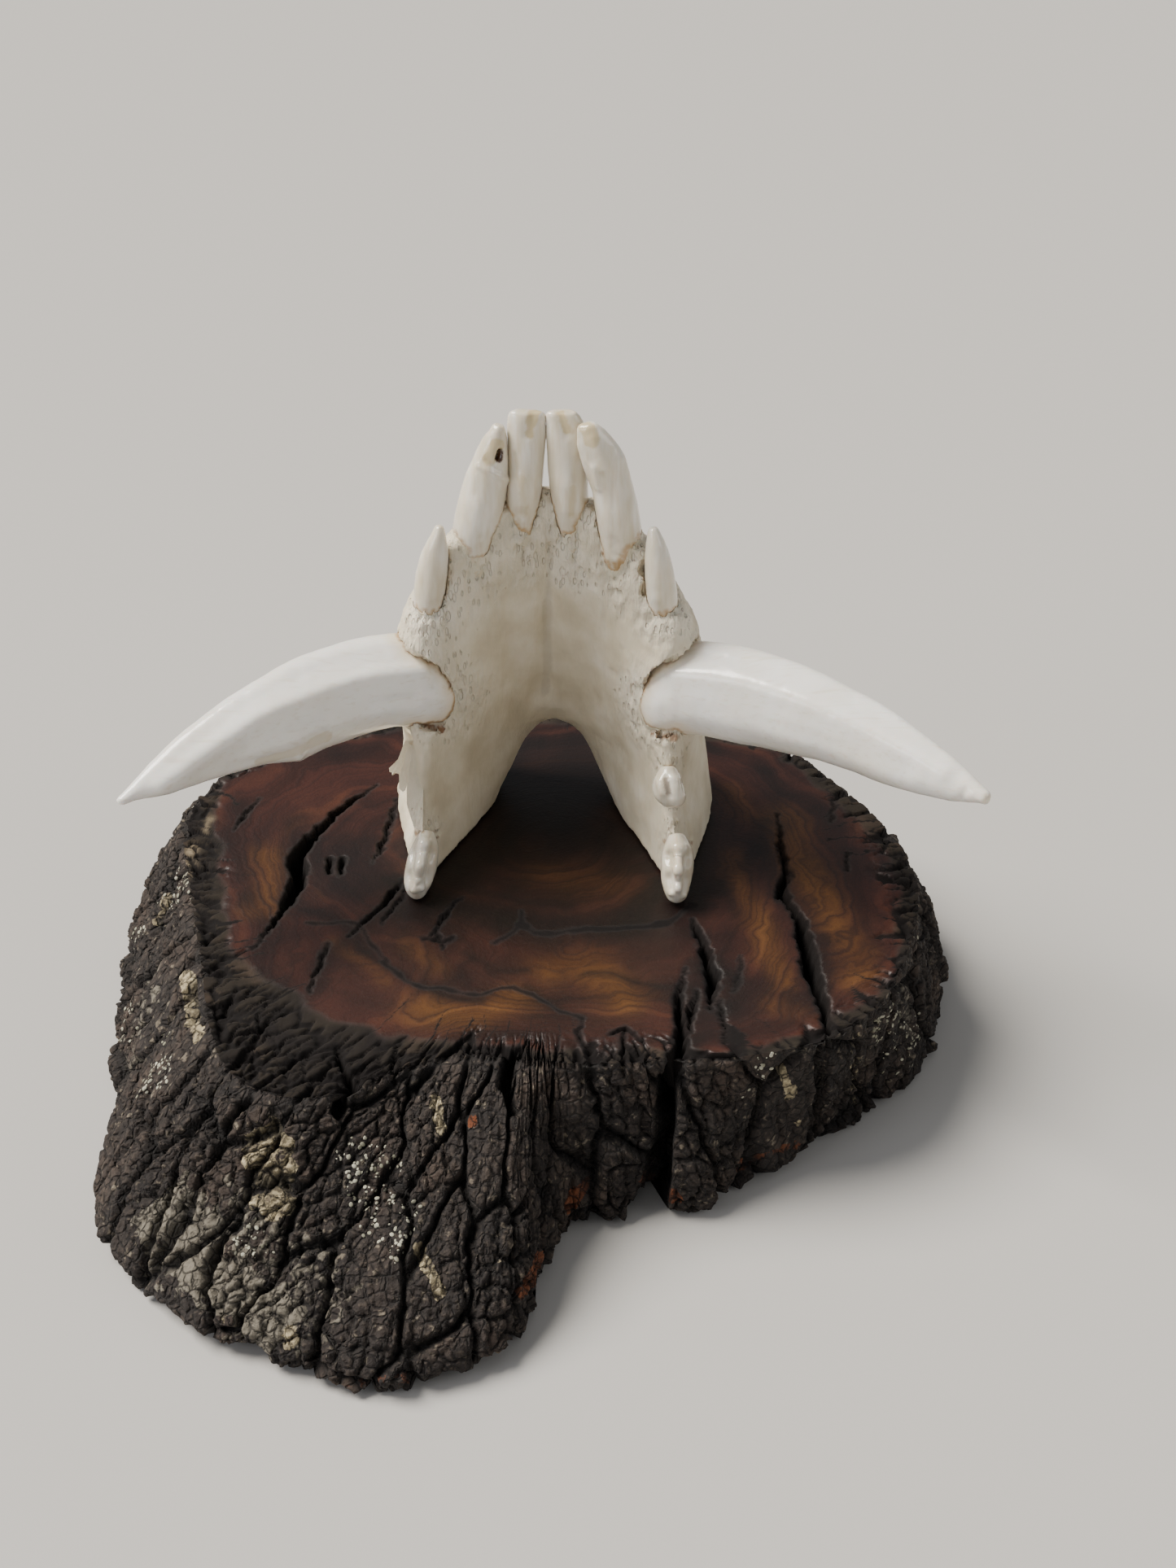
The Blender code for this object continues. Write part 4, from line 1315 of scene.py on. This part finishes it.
# %% Worn and stained places
WORN = {
    "incisor_1_left": [([(656, 508), (650, 530)], 1.6, 0.8), ([(640, 590), (644, 632)], 1.0, 0.4)],
    "incisor_1_right": [([(690, 508), (696, 530)], 1.6, 0.8), ([(704, 600), (702, 634)], 1.0, 0.4)],
    "incisor_2_left": [([(612, 548), (600, 560)], 1.8, 0.7)],
    "incisor_2_right": [([(714, 518), (722, 540)], 2.0, 0.7)],
    "tusk_left": [([(400, 905), (360, 924), (320, 936)], 1.6, 0.4)],
    "tusk_right": [([(1214, 982)], 1.5, 0.4)],
}
BROWN = {
    "incisor_2_left": [([(615, 555), (613, 564)], 0.8, 1.0)],
    "premolar_1_right": [([(818, 958), (822, 974)], 0.9, 0.6)],
}
for name, tooth in teeth.items():
    stain(tooth.data, "worn", WORN.get(name, []))
    stain(tooth.data, "brown", BROWN.get(name, []))
stain(jaw_mesh, "brown", [
    ([(518, 890), (545, 897)], 0.9, 0.9), ([(800, 902), (828, 906)], 0.9, 0.8),
    ([(511, 1024), (538, 1030)], 0.7, 0.7), ([(815, 1034), (850, 1036)], 0.7, 0.6),
    ([(604, 640), (614, 624)], 0.6, 0.8), ([(733, 640), (744, 690)], 0.6, 0.8),
    ([(549, 700), (546, 735)], 0.6, 0.6), ([(794, 710), (798, 740)], 0.6, 0.6),
])
stain(jaw_mesh, "midline", [
    ([(674, 648), (675, 690), (673, 740), (672, 800), (669, 850)], 1.1, 1.0),
])
print("pieces with worn places:", len(WORN))

# %% [markdown]
# ## Materials
# One function turns a colour as it is seen on a screen into the light values that the
# shaders work with. Another adds a node with its settings and links. A pattern's scale
# is the inverse of its real size. Every finish is a base colour with thinner layers over
# it, as dirt, wear and stains lie on a real surface, so one function lays them.

# %% Colour, size and node helpers
def colour(hex_code):
    parts = [int(hex_code[k:k + 2], 16) / 255 for k in (1, 3, 5)]
    return tuple(p / 12.92 if p < 0.04045 else ((p + 0.055) / 1.055) ** 2.4 for p in parts) + (1,)


def per(millimetres):
    return 1 / (millimetres * MM)


def add(owner, kind, inputs=None, stops=None, **settings):
    """Adds a node. Each input is a value, or the socket that feeds it."""
    tree = getattr(owner, "node_tree", owner)
    made = tree.nodes.new(kind)
    for name, value in settings.items():
        setattr(made, name, value)
    for name, value in (inputs or {}).items():
        if isinstance(value, bpy.types.NodeSocket):
            tree.links.new(value, made.inputs[name])
        else:
            made.inputs[name].default_value = value
    for k, (place, hex_code) in enumerate(stops or []):
        ramp_stops = made.color_ramp.elements
        stop = ramp_stops[k] if k < 2 else ramp_stops.new(place)
        stop.position = place
        stop.color = colour(hex_code)
    return made.outputs


def layered(material, base, layers):
    """Lays colours over a base, each through its own mask.

    The second value of a layer says how much of the mask shows: a share of it, or where
    it begins and ends and how much shows at both.
    """
    for mask, amount, over in layers:
        if isinstance(amount, tuple):
            reach = dict(zip(("From Min", "From Max", "To Min", "To Max"), amount))
            mask = add(material, "ShaderNodeMapRange", {"Value": mask, **reach})[0]
        elif amount != 1:
            mask = add(material, "ShaderNodeMath", {0: mask, 1: amount}, operation="MULTIPLY")[0]
        over = colour(over) if isinstance(over, str) else over
        base = add(material, "ShaderNodeMix", {0: mask, 6: base, 7: over}, data_type="RGBA")[2]
    return base


def finish(material, base, bump, strength, depth_mm, **values):
    """Joins the colour and the bump to the surface and sets its plain values."""
    tree = material.node_tree
    shader = tree.nodes["Principled BSDF"]
    tree.links.new(base, shader.inputs["Base Color"])
    normal = add(material, "ShaderNodeBump", {
        "Strength": strength, "Distance": depth_mm * MM, "Height": bump,
    })[0]
    tree.links.new(normal, shader.inputs["Normal"])
    for name, value in values.items():
        name = name.replace("_", " ")
        if isinstance(value, bpy.types.NodeSocket):
            tree.links.new(value, shader.inputs[name])
        else:
            shader.inputs[name].default_value = value


def new_material(name):
    material = bpy.data.materials.new(name)
    material.use_nodes = True
    return material


print("bone white in light values:", [round(c, 3) for c in colour("#e4dccb")[:3]])

# %% [markdown]
# ### Bleached bone
# Boiled and bleached bone is matte and warm white. Its skin is peppered with short pores
# that run with the grain, faintly darkened as painted shade, and it keeps a trace of brown
# grease by the teeth.

# %% Material: bleached bone
PORE_GAP = 1.1  # mm between pores, drawn two or three times as coarse as real ones

# Dry and matte: it gives the eye a warm white without any glint.
bone = new_material("bleached_bone")
where = add(bone, "ShaderNodeTexCoord")["Object"]
gap_now, pitting, brown, midline = (
    add(bone, "ShaderNodeAttribute", attribute_name=name)["Fac"]
    for name in ("tooth_gap", "pitting", "brown", "midline")
)
grain = add(bone, "ShaderNodeMapping", {"Vector": where, "Scale": (1, 0.8, 0.34)})[0]
cloudy = add(bone, "ShaderNodeTexNoise", {"Vector": where, "Scale": per(9), "Detail": 4.0})[0]
tone = add(bone, "ShaderNodeValToRGB", {"Fac": cloudy}, stops=[
    (0.30, "#c8bba0"), (0.70, "#e6dcc6"), (0.50, "#d8ccb2"),
])[0]
pore = add(bone, "ShaderNodeTexVoronoi", {"Vector": grain, "Scale": per(PORE_GAP)})["Distance"]
crumb = add(bone, "ShaderNodeTexNoise", {"Vector": grain, "Scale": per(1.0), "Detail": 5.0})[0]
reach = add(bone, "ShaderNodeMapRange", {
    "Value": add(bone, "ShaderNodeMath", {0: pitting, 1: cloudy}, operation="MULTIPLY")[0],
    "From Min": 0.05, "From Max": 0.6, "To Min": 0.02, "To Max": 0.45,
})[0]
open_pore = add(bone, "ShaderNodeMapRange", {
    "Value": add(bone, "ShaderNodeMath", {0: reach, 1: pore}, operation="SUBTRACT")[0],
    "From Min": 0.0, "From Max": 0.14,
})[0]
by_tooth = add(bone, "ShaderNodeMapRange", {
    "Value": add(bone, "ShaderNodeMath", {0: crumb, 1: gap_now}, operation="MULTIPLY_ADD")[0],
    "From Min": 0.5, "From Max": 0.8, "To Min": 0.4, "To Max": 0.0,
})[0]
bone_colour = layered(bone, tone, [
    (crumb, (0.52, 0.75, 0.0, 0.12), "#b8a88e"),
    # painted shade: a faint darkening inside the open pores
    (open_pore, 0.06, "#8a7458"),
    (pitting, 0.35, "#e6dfce"),
    (midline, 0.25, "#948a77"),
    (by_tooth, 1, "#c9a468"),
    (brown, 1, "#7d5022"),
])
worn_skin = add(bone, "ShaderNodeMapRange", {"Value": pitting, "To Min": 0.25, "To Max": 1.0})[0]
skin = add(bone, "ShaderNodeMath", {0: crumb, 1: worn_skin}, operation="MULTIPLY")[0]
heights = add(bone, "ShaderNodeMath", {
    0: open_pore, 1: -0.5, 2: skin,
}, operation="MULTIPLY_ADD")[0]
finish(bone, bone_colour, heights, 1.0, 0.75, Roughness=0.58, IOR=1.53,
       Subsurface_Weight=0.06, Subsurface_Scale=0.0015)
print("pores of bone, mm apart:", PORE_GAP)

# %% [markdown]
# ### Tusk ivory and tooth enamel
# Both are hard, dense and naturally polished, so they have a clear gloss over a colour
# that comes from a little below the surface. Both show fine lines along their length,
# drawn coarser than the real ones, and turn honey coloured where they leave the bone. So
# one function makes both: ivory is whiter and softer, enamel has brown holes as well.

# %% Materials: tusk ivory and tooth enamel
def polished_tooth(name, cloud, lines, ragged, base, layers, stains, bump, **values):
    """Clouds of colour, fine lines, a stained collar by the bone, and worn places."""
    made = new_material(name)
    where = add(made, "ShaderNodeTexCoord")["Object"]
    gap = add(made, "ShaderNodeAttribute", attribute_name="bone_gap")["Fac"]
    masks = {}
    for pattern, (stretch, size) in (("cloud", cloud), ("line", lines)):
        drawn = add(made, "ShaderNodeMapping", {"Vector": where, "Scale": stretch})[0]
        masks[pattern] = add(made, "ShaderNodeTexNoise", {
            "Vector": drawn, "Scale": per(size), "Detail": 3.0,
        })[0]
    masks["edge"] = add(made, "ShaderNodeMath", {
        0: masks["cloud"], 1: ragged, 2: gap,
    }, operation="MULTIPLY_ADD")[0]
    rows = [(masks[pattern], amount, tint) for pattern, amount, tint in layers]
    for stain_name, tint in stains.items():
        place = add(made, "ShaderNodeAttribute", attribute_name=stain_name)["Fac"]
        rows.append((place, 1, tint))
    white = add(made, "ShaderNodeValToRGB", {"Fac": masks["cloud"]}, stops=base)[0]
    finish(made, layered(made, white, rows), masks["line"], *bump, Coat_Roughness=0.08, **values)
    print(name, "layers:", len(rows))
    return made


# Polished and slightly clear: it gives the eye a white with a soft, wet looking shine.
ivory = polished_tooth(
    "tusk_ivory", cloud=((1, 1, 1), 14), lines=((0.08, 1, 1), 0.9), ragged=3.0,
    base=[(0.3, "#f1ebdf"), (0.7, "#fcfaf5"), (0.5, "#f7f3ea")],
    layers=[
        ("line", (0.55, 0.7, 0.0, 0.22), "#c9b690"), ("edge", (1.9, 5.5, 0.4, 0.0), "#d9b878"),
        ("edge", (1.6, 2.3, 0.7, 0.0), "#a0702c"),
    ],
    stains={"worn": "#cdb98e"}, bump=(0.12, 0.1), Roughness=0.2, IOR=1.54,
    Coat_Weight=0.3, Subsurface_Weight=0.12, Subsurface_Scale=0.002,
)
# Glassy over a cream core: it gives the eye small bright glints on the edges.
enamel = polished_tooth(
    "tooth_enamel", cloud=((1, 0.2, 0.2), 2.4), lines=((1, 0.12, 0.12), 0.7), ragged=1.2,
    base=[(0.3, "#d2c6ac"), (0.7, "#ebe5d8"), (0.48, "#dfd5c0")],
    layers=[
        ("line", (0.52, 0.7, 0.0, 0.22), "#cdb68c"), ("edge", (0.7, 1.5, 0.7, 0.0), "#b08444"),
    ],
    stains={"worn": "#c6b283", "brown": "#4a2a10"}, bump=(0.2, 0.12), Roughness=0.22, IOR=1.63,
    Coat_Weight=0.35, Subsurface_Weight=0.1, Subsurface_Scale=0.001,
)

# %% [markdown]
# ### Oiled heartwood
# The top was sanded and oiled. Dark red heartwood shows growth bands from near black to
# orange, with honey coloured figure, and the oil gives it a soft shine with a wet look
# in the dark parts. The edge was left grey and dry by a coarse disc. Painted shade makes
# the cracks near black, and a painted shadow darkens the wood under the jaw's arch.

# %% Material: oiled heartwood
# Oil on dark wood: it gives the eye depth in the bands and a broad, soft sheen.
wood = new_material("oiled_heartwood")
where = add(wood, "ShaderNodeTexCoord")["Object"]
ring_now = add(wood, "ShaderNodeAttribute", attribute_name="ring")["Fac"]
masks = {
    name: add(wood, "ShaderNodeAttribute", attribute_name=name)["Fac"]
    for name in ("gold", "red", "dark", "strip", "polish", "crack", "hollow")
}
wander = add(wood, "ShaderNodeTexNoise", {"Vector": where, "Scale": per(5), "Detail": 5.0})[0]
ring_far = add(wood, "ShaderNodeMath", {
    0: wander, 1: 2.6, 2: ring_now,
}, operation="MULTIPLY_ADD")[0]
by_ring = add(wood, "ShaderNodeCombineXYZ", {"X": ring_far})[0]
band = add(wood, "ShaderNodeTexNoise", {"Vector": by_ring, "Scale": 0.16, "Detail": 3.0})[0]
growth = add(wood, "ShaderNodeTexNoise", {"Vector": by_ring, "Scale": 0.9, "Detail": 2.0})[0]
mottle = add(wood, "ShaderNodeTexNoise", {
    "Vector": where, "Scale": per(16), "Detail": 6.0, "Distortion": 0.6,
})[0]
by_band = add(wood, "ShaderNodeMath", {0: band, 1: 0.55}, operation="MULTIPLY")[0]
mixed = add(wood, "ShaderNodeMath", {
    0: mottle, 1: 0.55, 2: by_band,
}, operation="MULTIPLY_ADD")[0]
red_wood = add(wood, "ShaderNodeValToRGB", {"Fac": mixed}, stops=[
    (0.36, "#0d0807"), (0.76, "#45281a"), (0.44, "#160d0b"), (0.53, "#22120f"), (0.63, "#321b15"),
])[0]
# Pores are 0.1 to 0.3 mm wide and are drawn coarser, so that a whole picture shows them.
pores = add(wood, "ShaderNodeTexNoise", {"Vector": where, "Scale": per(0.7), "Detail": 4.0})[0]
streak = add(wood, "ShaderNodeMapRange", {
    "Value": growth, "From Min": 0.35, "From Max": 0.62, "To Min": 0.95, "To Max": 0.5,
})[0]
unpolished = add(wood, "ShaderNodeMath", {0: 1.0, 1: masks["polish"]}, operation="SUBTRACT")[0]
wood_layers = [
    (masks["red"], 0.6, add(wood, "ShaderNodeValToRGB", {"Fac": band}, stops=[
        (0.35, "#2c140e"), (0.7, "#502a1d"), (0.52, "#3d1f18"),
    ])[0]),
    (masks["gold"], streak, add(wood, "ShaderNodeValToRGB", {"Fac": band}, stops=[
        (0.35, "#422713"), (0.7, "#6e4a25"), (0.52, "#56371a"),
    ])[0]),
    # dark stains, and the painted shadow on the wood under the jaw's arch
    (masks["dark"], 0.85, "#0f0a09"),
    (growth, (0.5, 0.68, 0.0, 0.48), "#180e0c"),
    (pores, (0.55, 0.8, 0.0, 0.5), "#1d0f0a"),
    (unpolished, 1, add(wood, "ShaderNodeValToRGB", {"Fac": mottle}, stops=[
        (0.35, "#15100e"), (0.75, "#43362c"), (0.55, "#262019"),
    ])[0]),
    (masks["strip"], pores, "#a8977c"),
    # painted shade in and beside the cracks, and dark lines along the fine seams
    (masks["crack"], (0.05, 1.0, 0.85, 0.0), "#0b0706"),
    # painted shade, darkest where a crack or fissure goes deepest
    (masks["hollow"], 1, "#0d0807"),
]
wood_colour = layered(wood, red_wood, wood_layers)
wood_bump = add(wood, "ShaderNodeMath", {0: pores, 1: growth}, operation="ADD")[0]
whole = add(wood, "ShaderNodeMapRange", {
    "Value": masks["crack"], "From Min": 0.1, "From Max": 1.0,
})[0]
oiled = add(wood, "ShaderNodeMath", {0: masks["polish"], 1: whole}, operation="MULTIPLY")[0]
wood_rough = add(wood, "ShaderNodeMapRange", {"Value": oiled, "To Min": 0.95, "To Max": 0.42})[0]
finish(wood, wood_colour, wood_bump, 0.3, 0.25, Roughness=wood_rough, IOR=1.45,
       Specular_IOR_Level=0.35)
print("layers of wood colour:", len(wood_layers))

# %% [markdown]
# ### Bark
# Old bark is dull and grey-brown on the plates, and rusty where a piece broke off.
# Painted shade makes its cracks almost black, and a painted highlight makes the plates
# that stand out a little lighter. Pale grey lichen grows on the plates that stand out.

# %% Material: bark
# Rough and dull: it gives the eye a dark, broken ground that lets the wood shine.
bark = new_material("old_bark")
where = add(bark, "ShaderNodeTexCoord")["Object"]
masks = {
    name: add(bark, "ShaderNodeAttribute", attribute_name=name)["Fac"]
    for name in ("hollow", "height", "bare", "rust", "pale")
}
patch = add(bark, "ShaderNodeTexNoise", {"Vector": where, "Scale": per(12), "Detail": 5.0})[0]
grit = add(bark, "ShaderNodeTexNoise", {"Vector": where, "Scale": per(1.1), "Detail": 6.0})[0]
bent = add(bark, "ShaderNodeTexNoise", {"Vector": where, "Scale": per(3), "Detail": 3.0})["Color"]
bent = add(bark, "ShaderNodeVectorMath", {
    0: bent, 1: (2.2 * MM, 2.2 * MM, 2.2 * MM), 2: where,
}, operation="MULTIPLY_ADD")[0]
cracks = add(bark, "ShaderNodeTexVoronoi", {
    "Vector": bent, "Scale": per(2.7),
}, feature="DISTANCE_TO_EDGE")["Distance"]
base = add(bark, "ShaderNodeValToRGB", {"Fac": patch}, stops=[
    (0.30, "#1a1513"), (0.70, "#43372f"), (0.5, "#2b2420"),
])[0]
flecks = add(bark, "ShaderNodeTexNoise", {"Vector": where, "Scale": per(2.2), "Detail": 6.0})[0]
broken = {
    name: add(bark, "ShaderNodeMath", {0: masks[name], 1: flecks}, operation="ADD")[0]
    for name in ("pale", "rust", "bare")
}
bark_colour = layered(bark, base, [
    (grit, (0.52, 0.74, 0.0, 0.45), "#64584c"),
    # painted highlight: the plates that stand out are lighter
    (masks["height"], (0.3, 1.5, 0.0, 0.4), "#5d4f42"),
    (flecks, (0.62, 0.7, 0.0, 0.65), "#857a69"),
    (broken["pale"], (0.98, 1.1, 0.0, 0.75), "#7f786a"),
    (broken["rust"], (1.05, 1.17, 0.0, 0.9), "#6e3c20"),
    (broken["bare"], (1.12, 1.24, 0.0, 1.0), add(bark, "ShaderNodeValToRGB", {"Fac": grit}, stops=[
        (0.35, "#5d5343"), (0.7, "#c0b290"), (0.5, "#978a6d"),
    ])[0]),
    # painted shade: fine cracks, which have only a bump, drawn almost black
    (cracks, (0.01, 0.09, 0.75, 0.0), "#120d0b"),
    # painted shade: almost black in the deep cracks of the net
    (masks["hollow"], 0.9, "#0f0b09"),
])
plates = add(bark, "ShaderNodeMapRange", {"Value": cracks, "From Max": 0.14})[0]
bark_bump = add(bark, "ShaderNodeMath", {0: plates, 1: 0.7, 2: grit}, operation="MULTIPLY_ADD")[0]
finish(bark, bark_colour, bark_bump, 0.9, 0.8, Roughness=0.86, IOR=1.45)
print("bark material:", bark.name)

# %% [markdown]
# Where a flake of bark broke off, the pale inner bark lies bare, and older breaks have
# turned rusty. Dust and weather left wide, faintly pale areas near the foot. The larger
# of them stand where the picture has them.

# %% Bare, rusty and pale places on the bark
BARE = [
    # line in the picture, half width in millimetres, strength
    ([(322, 1408), (333, 1436), (340, 1470)], 5.2, 1.0),
    ([(228, 1198), (236, 1236), (243, 1276)], 2.3, 0.9),
    ([(205, 1100), (198, 1130)], 1.8, 0.8), ([(352, 1655), (360, 1640)], 2.0, 0.8),
    ([(291, 1204), (292, 1212)], 1.6, 0.8), ([(240, 1230)], 1.4, 0.7), ([(275, 1623)], 1.6, 0.8),
    ([(536, 1350), (544, 1388)], 1.4, 0.9), ([(512, 1532), (540, 1590)], 1.5, 0.8),
    ([(613, 1549)], 1.2, 0.8), ([(960, 1312), (974, 1347)], 1.5, 0.9), ([(981, 1381)], 1.2, 0.8),
    ([(1048, 1272), (1050, 1350)], 1.6, 0.6),
]
RUST = [
    ([(320, 1260)], 2.0, 0.9), ([(579, 1380)], 1.8, 0.8), ([(640, 1590), (665, 1545)], 2.0, 0.7),
    ([(700, 1478), (718, 1455)], 2.2, 0.8), ([(790, 1445), (832, 1472)], 2.0, 0.7),
    ([(430, 1700), (510, 1688)], 1.6, 0.6), ([(905, 1432), (985, 1404)], 1.4, 0.6),
]
PALE = [
    ([(210, 1500), (260, 1560), (330, 1620)], 9.0, 0.7), ([(300, 1480), (400, 1600)], 8.0, 0.5),
    ([(190, 1200), (160, 1300)], 5.0, 0.5), ([(1100, 1180), (1120, 1260)], 4.0, 0.5),
]
for half in (bark_left, bark_right):
    keep_inside(half.data)
    for name, strokes in (("bare", BARE), ("rust", RUST), ("pale", PALE)):
        stain(half.data, name, strokes)
print("places on the bark:", len(BARE + RUST + PALE))

# %% [markdown]
# ## Lichen crusts
# Small grey crusts sit on the bark in colonies. They repeat hundreds of times, so a
# node tree scatters them: it spreads points over the bark where the colonies are,
# puts a flat lump of a few dozen faces on each, turns and sizes them at random, and
# makes them real geometry.

# %% A tree that scatters crusts
# Dry and powdery: it gives the eye small pale spots without any shine.
lichen = new_material("lichen_crust")
where = add(lichen, "ShaderNodeTexCoord")["Object"]
tint = add(lichen, "ShaderNodeTexNoise", {"Vector": where, "Scale": per(3), "Detail": 3.0})[0]
lichen_colour = add(lichen, "ShaderNodeValToRGB", {"Fac": tint}, stops=[
    (0.35, "#7d7b69"), (0.7, "#b9b6a4"),
])[0]
finish(lichen, lichen_colour, tint, 0.6, 0.3, Roughness=0.92, IOR=1.4)

scatter = bpy.data.node_groups.new("scatter_crusts", "GeometryNodeTree")
for name, kind, way in [
    ("Bark", "NodeSocketGeometry", "INPUT"), ("Per square metre", "NodeSocketFloat", "INPUT"),
    ("Crust size", "NodeSocketFloat", "INPUT"), ("Crusts", "NodeSocketGeometry", "OUTPUT"),
]:
    scatter.interface.new_socket(name, in_out=way, socket_type=kind)
given = add(scatter, "NodeGroupInput")
colony = add(scatter, "GeometryNodeInputNamedAttribute", {"Name": "colony"}, data_type="FLOAT")[0]
density = add(scatter, "ShaderNodeMath", {
    0: colony, 1: given["Per square metre"],
}, operation="MULTIPLY")[0]
spread = add(scatter, "GeometryNodeDistributePointsOnFaces", {
    "Mesh": given["Bark"], "Seed": 7, "Density": density,
})
lump = add(scatter, "GeometryNodeMeshIcoSphere", {"Radius": 1.0, "Subdivisions": 2})["Mesh"]
lump = add(scatter, "GeometryNodeTransform", {"Geometry": lump, "Scale": (1.0, 0.8, 0.3)})[0]
share_of_size = add(scatter, "FunctionNodeRandomValue", {
    2: 0.2, 3: 1.0, "Seed": 3,
}, data_type="FLOAT")[1]
size_now = add(scatter, "ShaderNodeMath", {
    0: share_of_size, 1: given["Crust size"],
}, operation="MULTIPLY")[0]
angle = add(scatter, "FunctionNodeRandomValue", {
    2: 0.0, 3: 6.28, "Seed": 5,
}, data_type="FLOAT")[1]
upright_turn = add(scatter, "ShaderNodeCombineXYZ", {"Z": angle})[0]
turned = add(scatter, "FunctionNodeRotateRotation", {
    "Rotation": spread["Rotation"],
    "Rotate By": add(scatter, "FunctionNodeEulerToRotation", {"Euler": upright_turn})[0],
}, rotation_space="LOCAL")[0]
placed = add(scatter, "GeometryNodeInstanceOnPoints", {
    "Points": spread["Points"], "Instance": lump, "Rotation": turned, "Scale": size_now,
})[0]
real = add(scatter, "GeometryNodeRealizeInstances", {"Geometry": placed})[0]
real = add(scatter, "GeometryNodeSetMaterial", {"Geometry": real, "Material": lichen})[0]
add(scatter, "NodeGroupOutput", {"Crusts": real})
print("nodes in the tree:", len(scatter.nodes))

# %% [markdown]
# Lichen keeps to plates that get some rain and light. So its colonies are soft areas
# that stay out of the cracks and off the lowest edge, and the crusts are densest in the
# middle of each.

# %% Scatter them
CRUSTS_PER_M2 = 700000.0
CRUST_SIZE = 0.58  # radius of the largest in millimetres
inputs = {
    item.name: item.identifier for item in scatter.interface.items_tree
    if item.item_type == "SOCKET" and item.in_out == "INPUT"
}
crusts = []
for half in (bark_left, bark_right):
    places = points_of(half.data)
    hollow_here = np.empty(len(places))
    half.data.attributes["hollow"].data.foreach_get("value", hollow_here)
    colony = ramp(rough(places, 13, 4, 141), 0.55, 0.95) * (1 - ramp(hollow_here, 0.2, 0.5))
    put_attribute(half.data, "colony", colony * ramp(places[:, 2], 2, 6))
    holder = new_object("lichen_" + half.name.split("_")[1], half.data.copy())
    modifier = holder.modifiers.new("scatter", "NODES")
    modifier.node_group = scatter
    modifier[inputs["Per square metre"]] = CRUSTS_PER_M2
    modifier[inputs["Crust size"]] = CRUST_SIZE * MM
    crust_mesh = settle(holder)
    print(holder.name, "faces:", len(crust_mesh.polygons))
    keep_inside(crust_mesh)
    crusts.append(holder)

# %% [markdown]
# ## Put it together
# Every piece rides on the one body, gets its finish and stands for the solid that it
# was made from. Only the lichen stands for none, as no solid has it.

# %% Finishes and bodies
dressed = []


def dress(thing, material, slot, *nodes):
    dressed.append(thing.name)
    thing.data.materials.clear()
    thing.data.materials.append(material)
    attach(thing, "root")
    if nodes:
        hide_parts(*nodes)


for part in (slab_top, slab_underside):
    dress(part, wood, "oiled_heartwood", "wood_slab")
for part in (bark_left, bark_right):
    dress(part, bark, "oiled_heartwood", "wood_slab")
for crust in crusts:
    dress(crust, lichen, "oiled_heartwood")
dress(jaw, bone, "bleached_bone", "jaw_bone")
for name, tooth in teeth.items():
    if name.startswith("tusk"):
        dress(tooth, ivory, "tusk_ivory", name)
    else:
        dress(tooth, enamel, "tooth_enamel", name)
print("pieces dressed:", len(dressed))

# %% [markdown]
# ## Floor
# The mount stands on a plain pale floor that reaches far beyond the picture. It throws
# soft light back up at the bark and takes nothing of the eye.

# %% Floor
FLOOR = 20  # metres from its middle to its edge
corners = [(-FLOOR, -FLOOR, 0), (FLOOR, -FLOOR, 0), (FLOOR, FLOOR, 0), (-FLOOR, FLOOR, 0)]
floor_mesh = bpy.data.meshes.new("floor")
floor_mesh.from_pydata(corners, [], [(0, 1, 2, 3)])
floor = new_object("floor", floor_mesh)
pale = new_material("pale_floor")
pale_shader = pale.node_tree.nodes["Principled BSDF"]
pale_shader.inputs["Base Color"].default_value = colour("#b9b6b1")
pale_shader.inputs["Roughness"].default_value = 0.8
floor.data.materials.append(pale)
print("floor:", 2 * FLOOR, "m wide")

# %% [markdown]
# ## Light
# A wide soft light comes from the left and above, a little from behind, and a weak lamp
# stands on each side in front. So the tusks shine along their upper edges, the trough
# of the bone lies in soft shade and the arch under the jaw stays dark.

# %% Light
AIM = Vector((0, 0, 0.05))  # metres: the lamps look at the middle of the jaw


def soft_lamp(name, place, width, power, tint):
    lamp = bpy.data.lights.new(name, "AREA")
    lamp.shape = "DISK"
    lamp.size = width
    lamp.energy = power
    lamp.color = colour(tint)[:3]
    thing = bpy.data.objects.new(name, lamp)
    bpy.context.scene.collection.objects.link(thing)
    thing.location = place
    thing.rotation_euler = (AIM - Vector(place)).to_track_quat("-Z", "Y").to_euler()


sky = bpy.data.lights.new("ceiling", "SUN")
sky.energy = 6.4
sky.angle = 0.6
sky.color = colour("#fffaf2")[:3]
ceiling = bpy.data.objects.new("ceiling", sky)
ceiling.rotation_euler = Vector((-0.75, 0.2, 1.0)).to_track_quat("Z", "Y").to_euler()
bpy.context.scene.collection.objects.link(ceiling)
soft_lamp("left_fill", (-0.8, -0.5, 0.45), 0.5, 2.4, "#f4f6ff")
soft_lamp("right_fill", (0.9, -0.3, 0.5), 0.5, 1.2, "#ffffff")
world = bpy.data.worlds.new("studio")
world.use_nodes = True
background = world.node_tree.nodes["Background"]
background.inputs["Color"].default_value = colour("#e8eaee")
background.inputs["Strength"].default_value = 0.36
bpy.context.scene.world = world
print("lights:", len(bpy.data.lights))

# %% [markdown]
# ## Camera
# The camera stands where the lines of sight begin, with the same pitch and focal length.
# So each place that was measured in the picture falls on its own detail here.

# %% Camera
SENSOR = 36  # millimetres along the picture's longer side
camera_data = bpy.data.cameras.new("camera")
camera_data.sensor_width = SENSOR
camera_data.lens = FOCUS * SENSOR / PICTURE[1]
camera_data.clip_start = 0.01
camera = bpy.data.objects.new("camera", camera_data)
camera.location = EYE
camera.rotation_euler = (math.pi / 2 - PITCH, 0, 0)
bpy.context.scene.collection.objects.link(camera)
bpy.context.scene.camera = camera
print("lens:", round(camera_data.lens, 1), "mm")
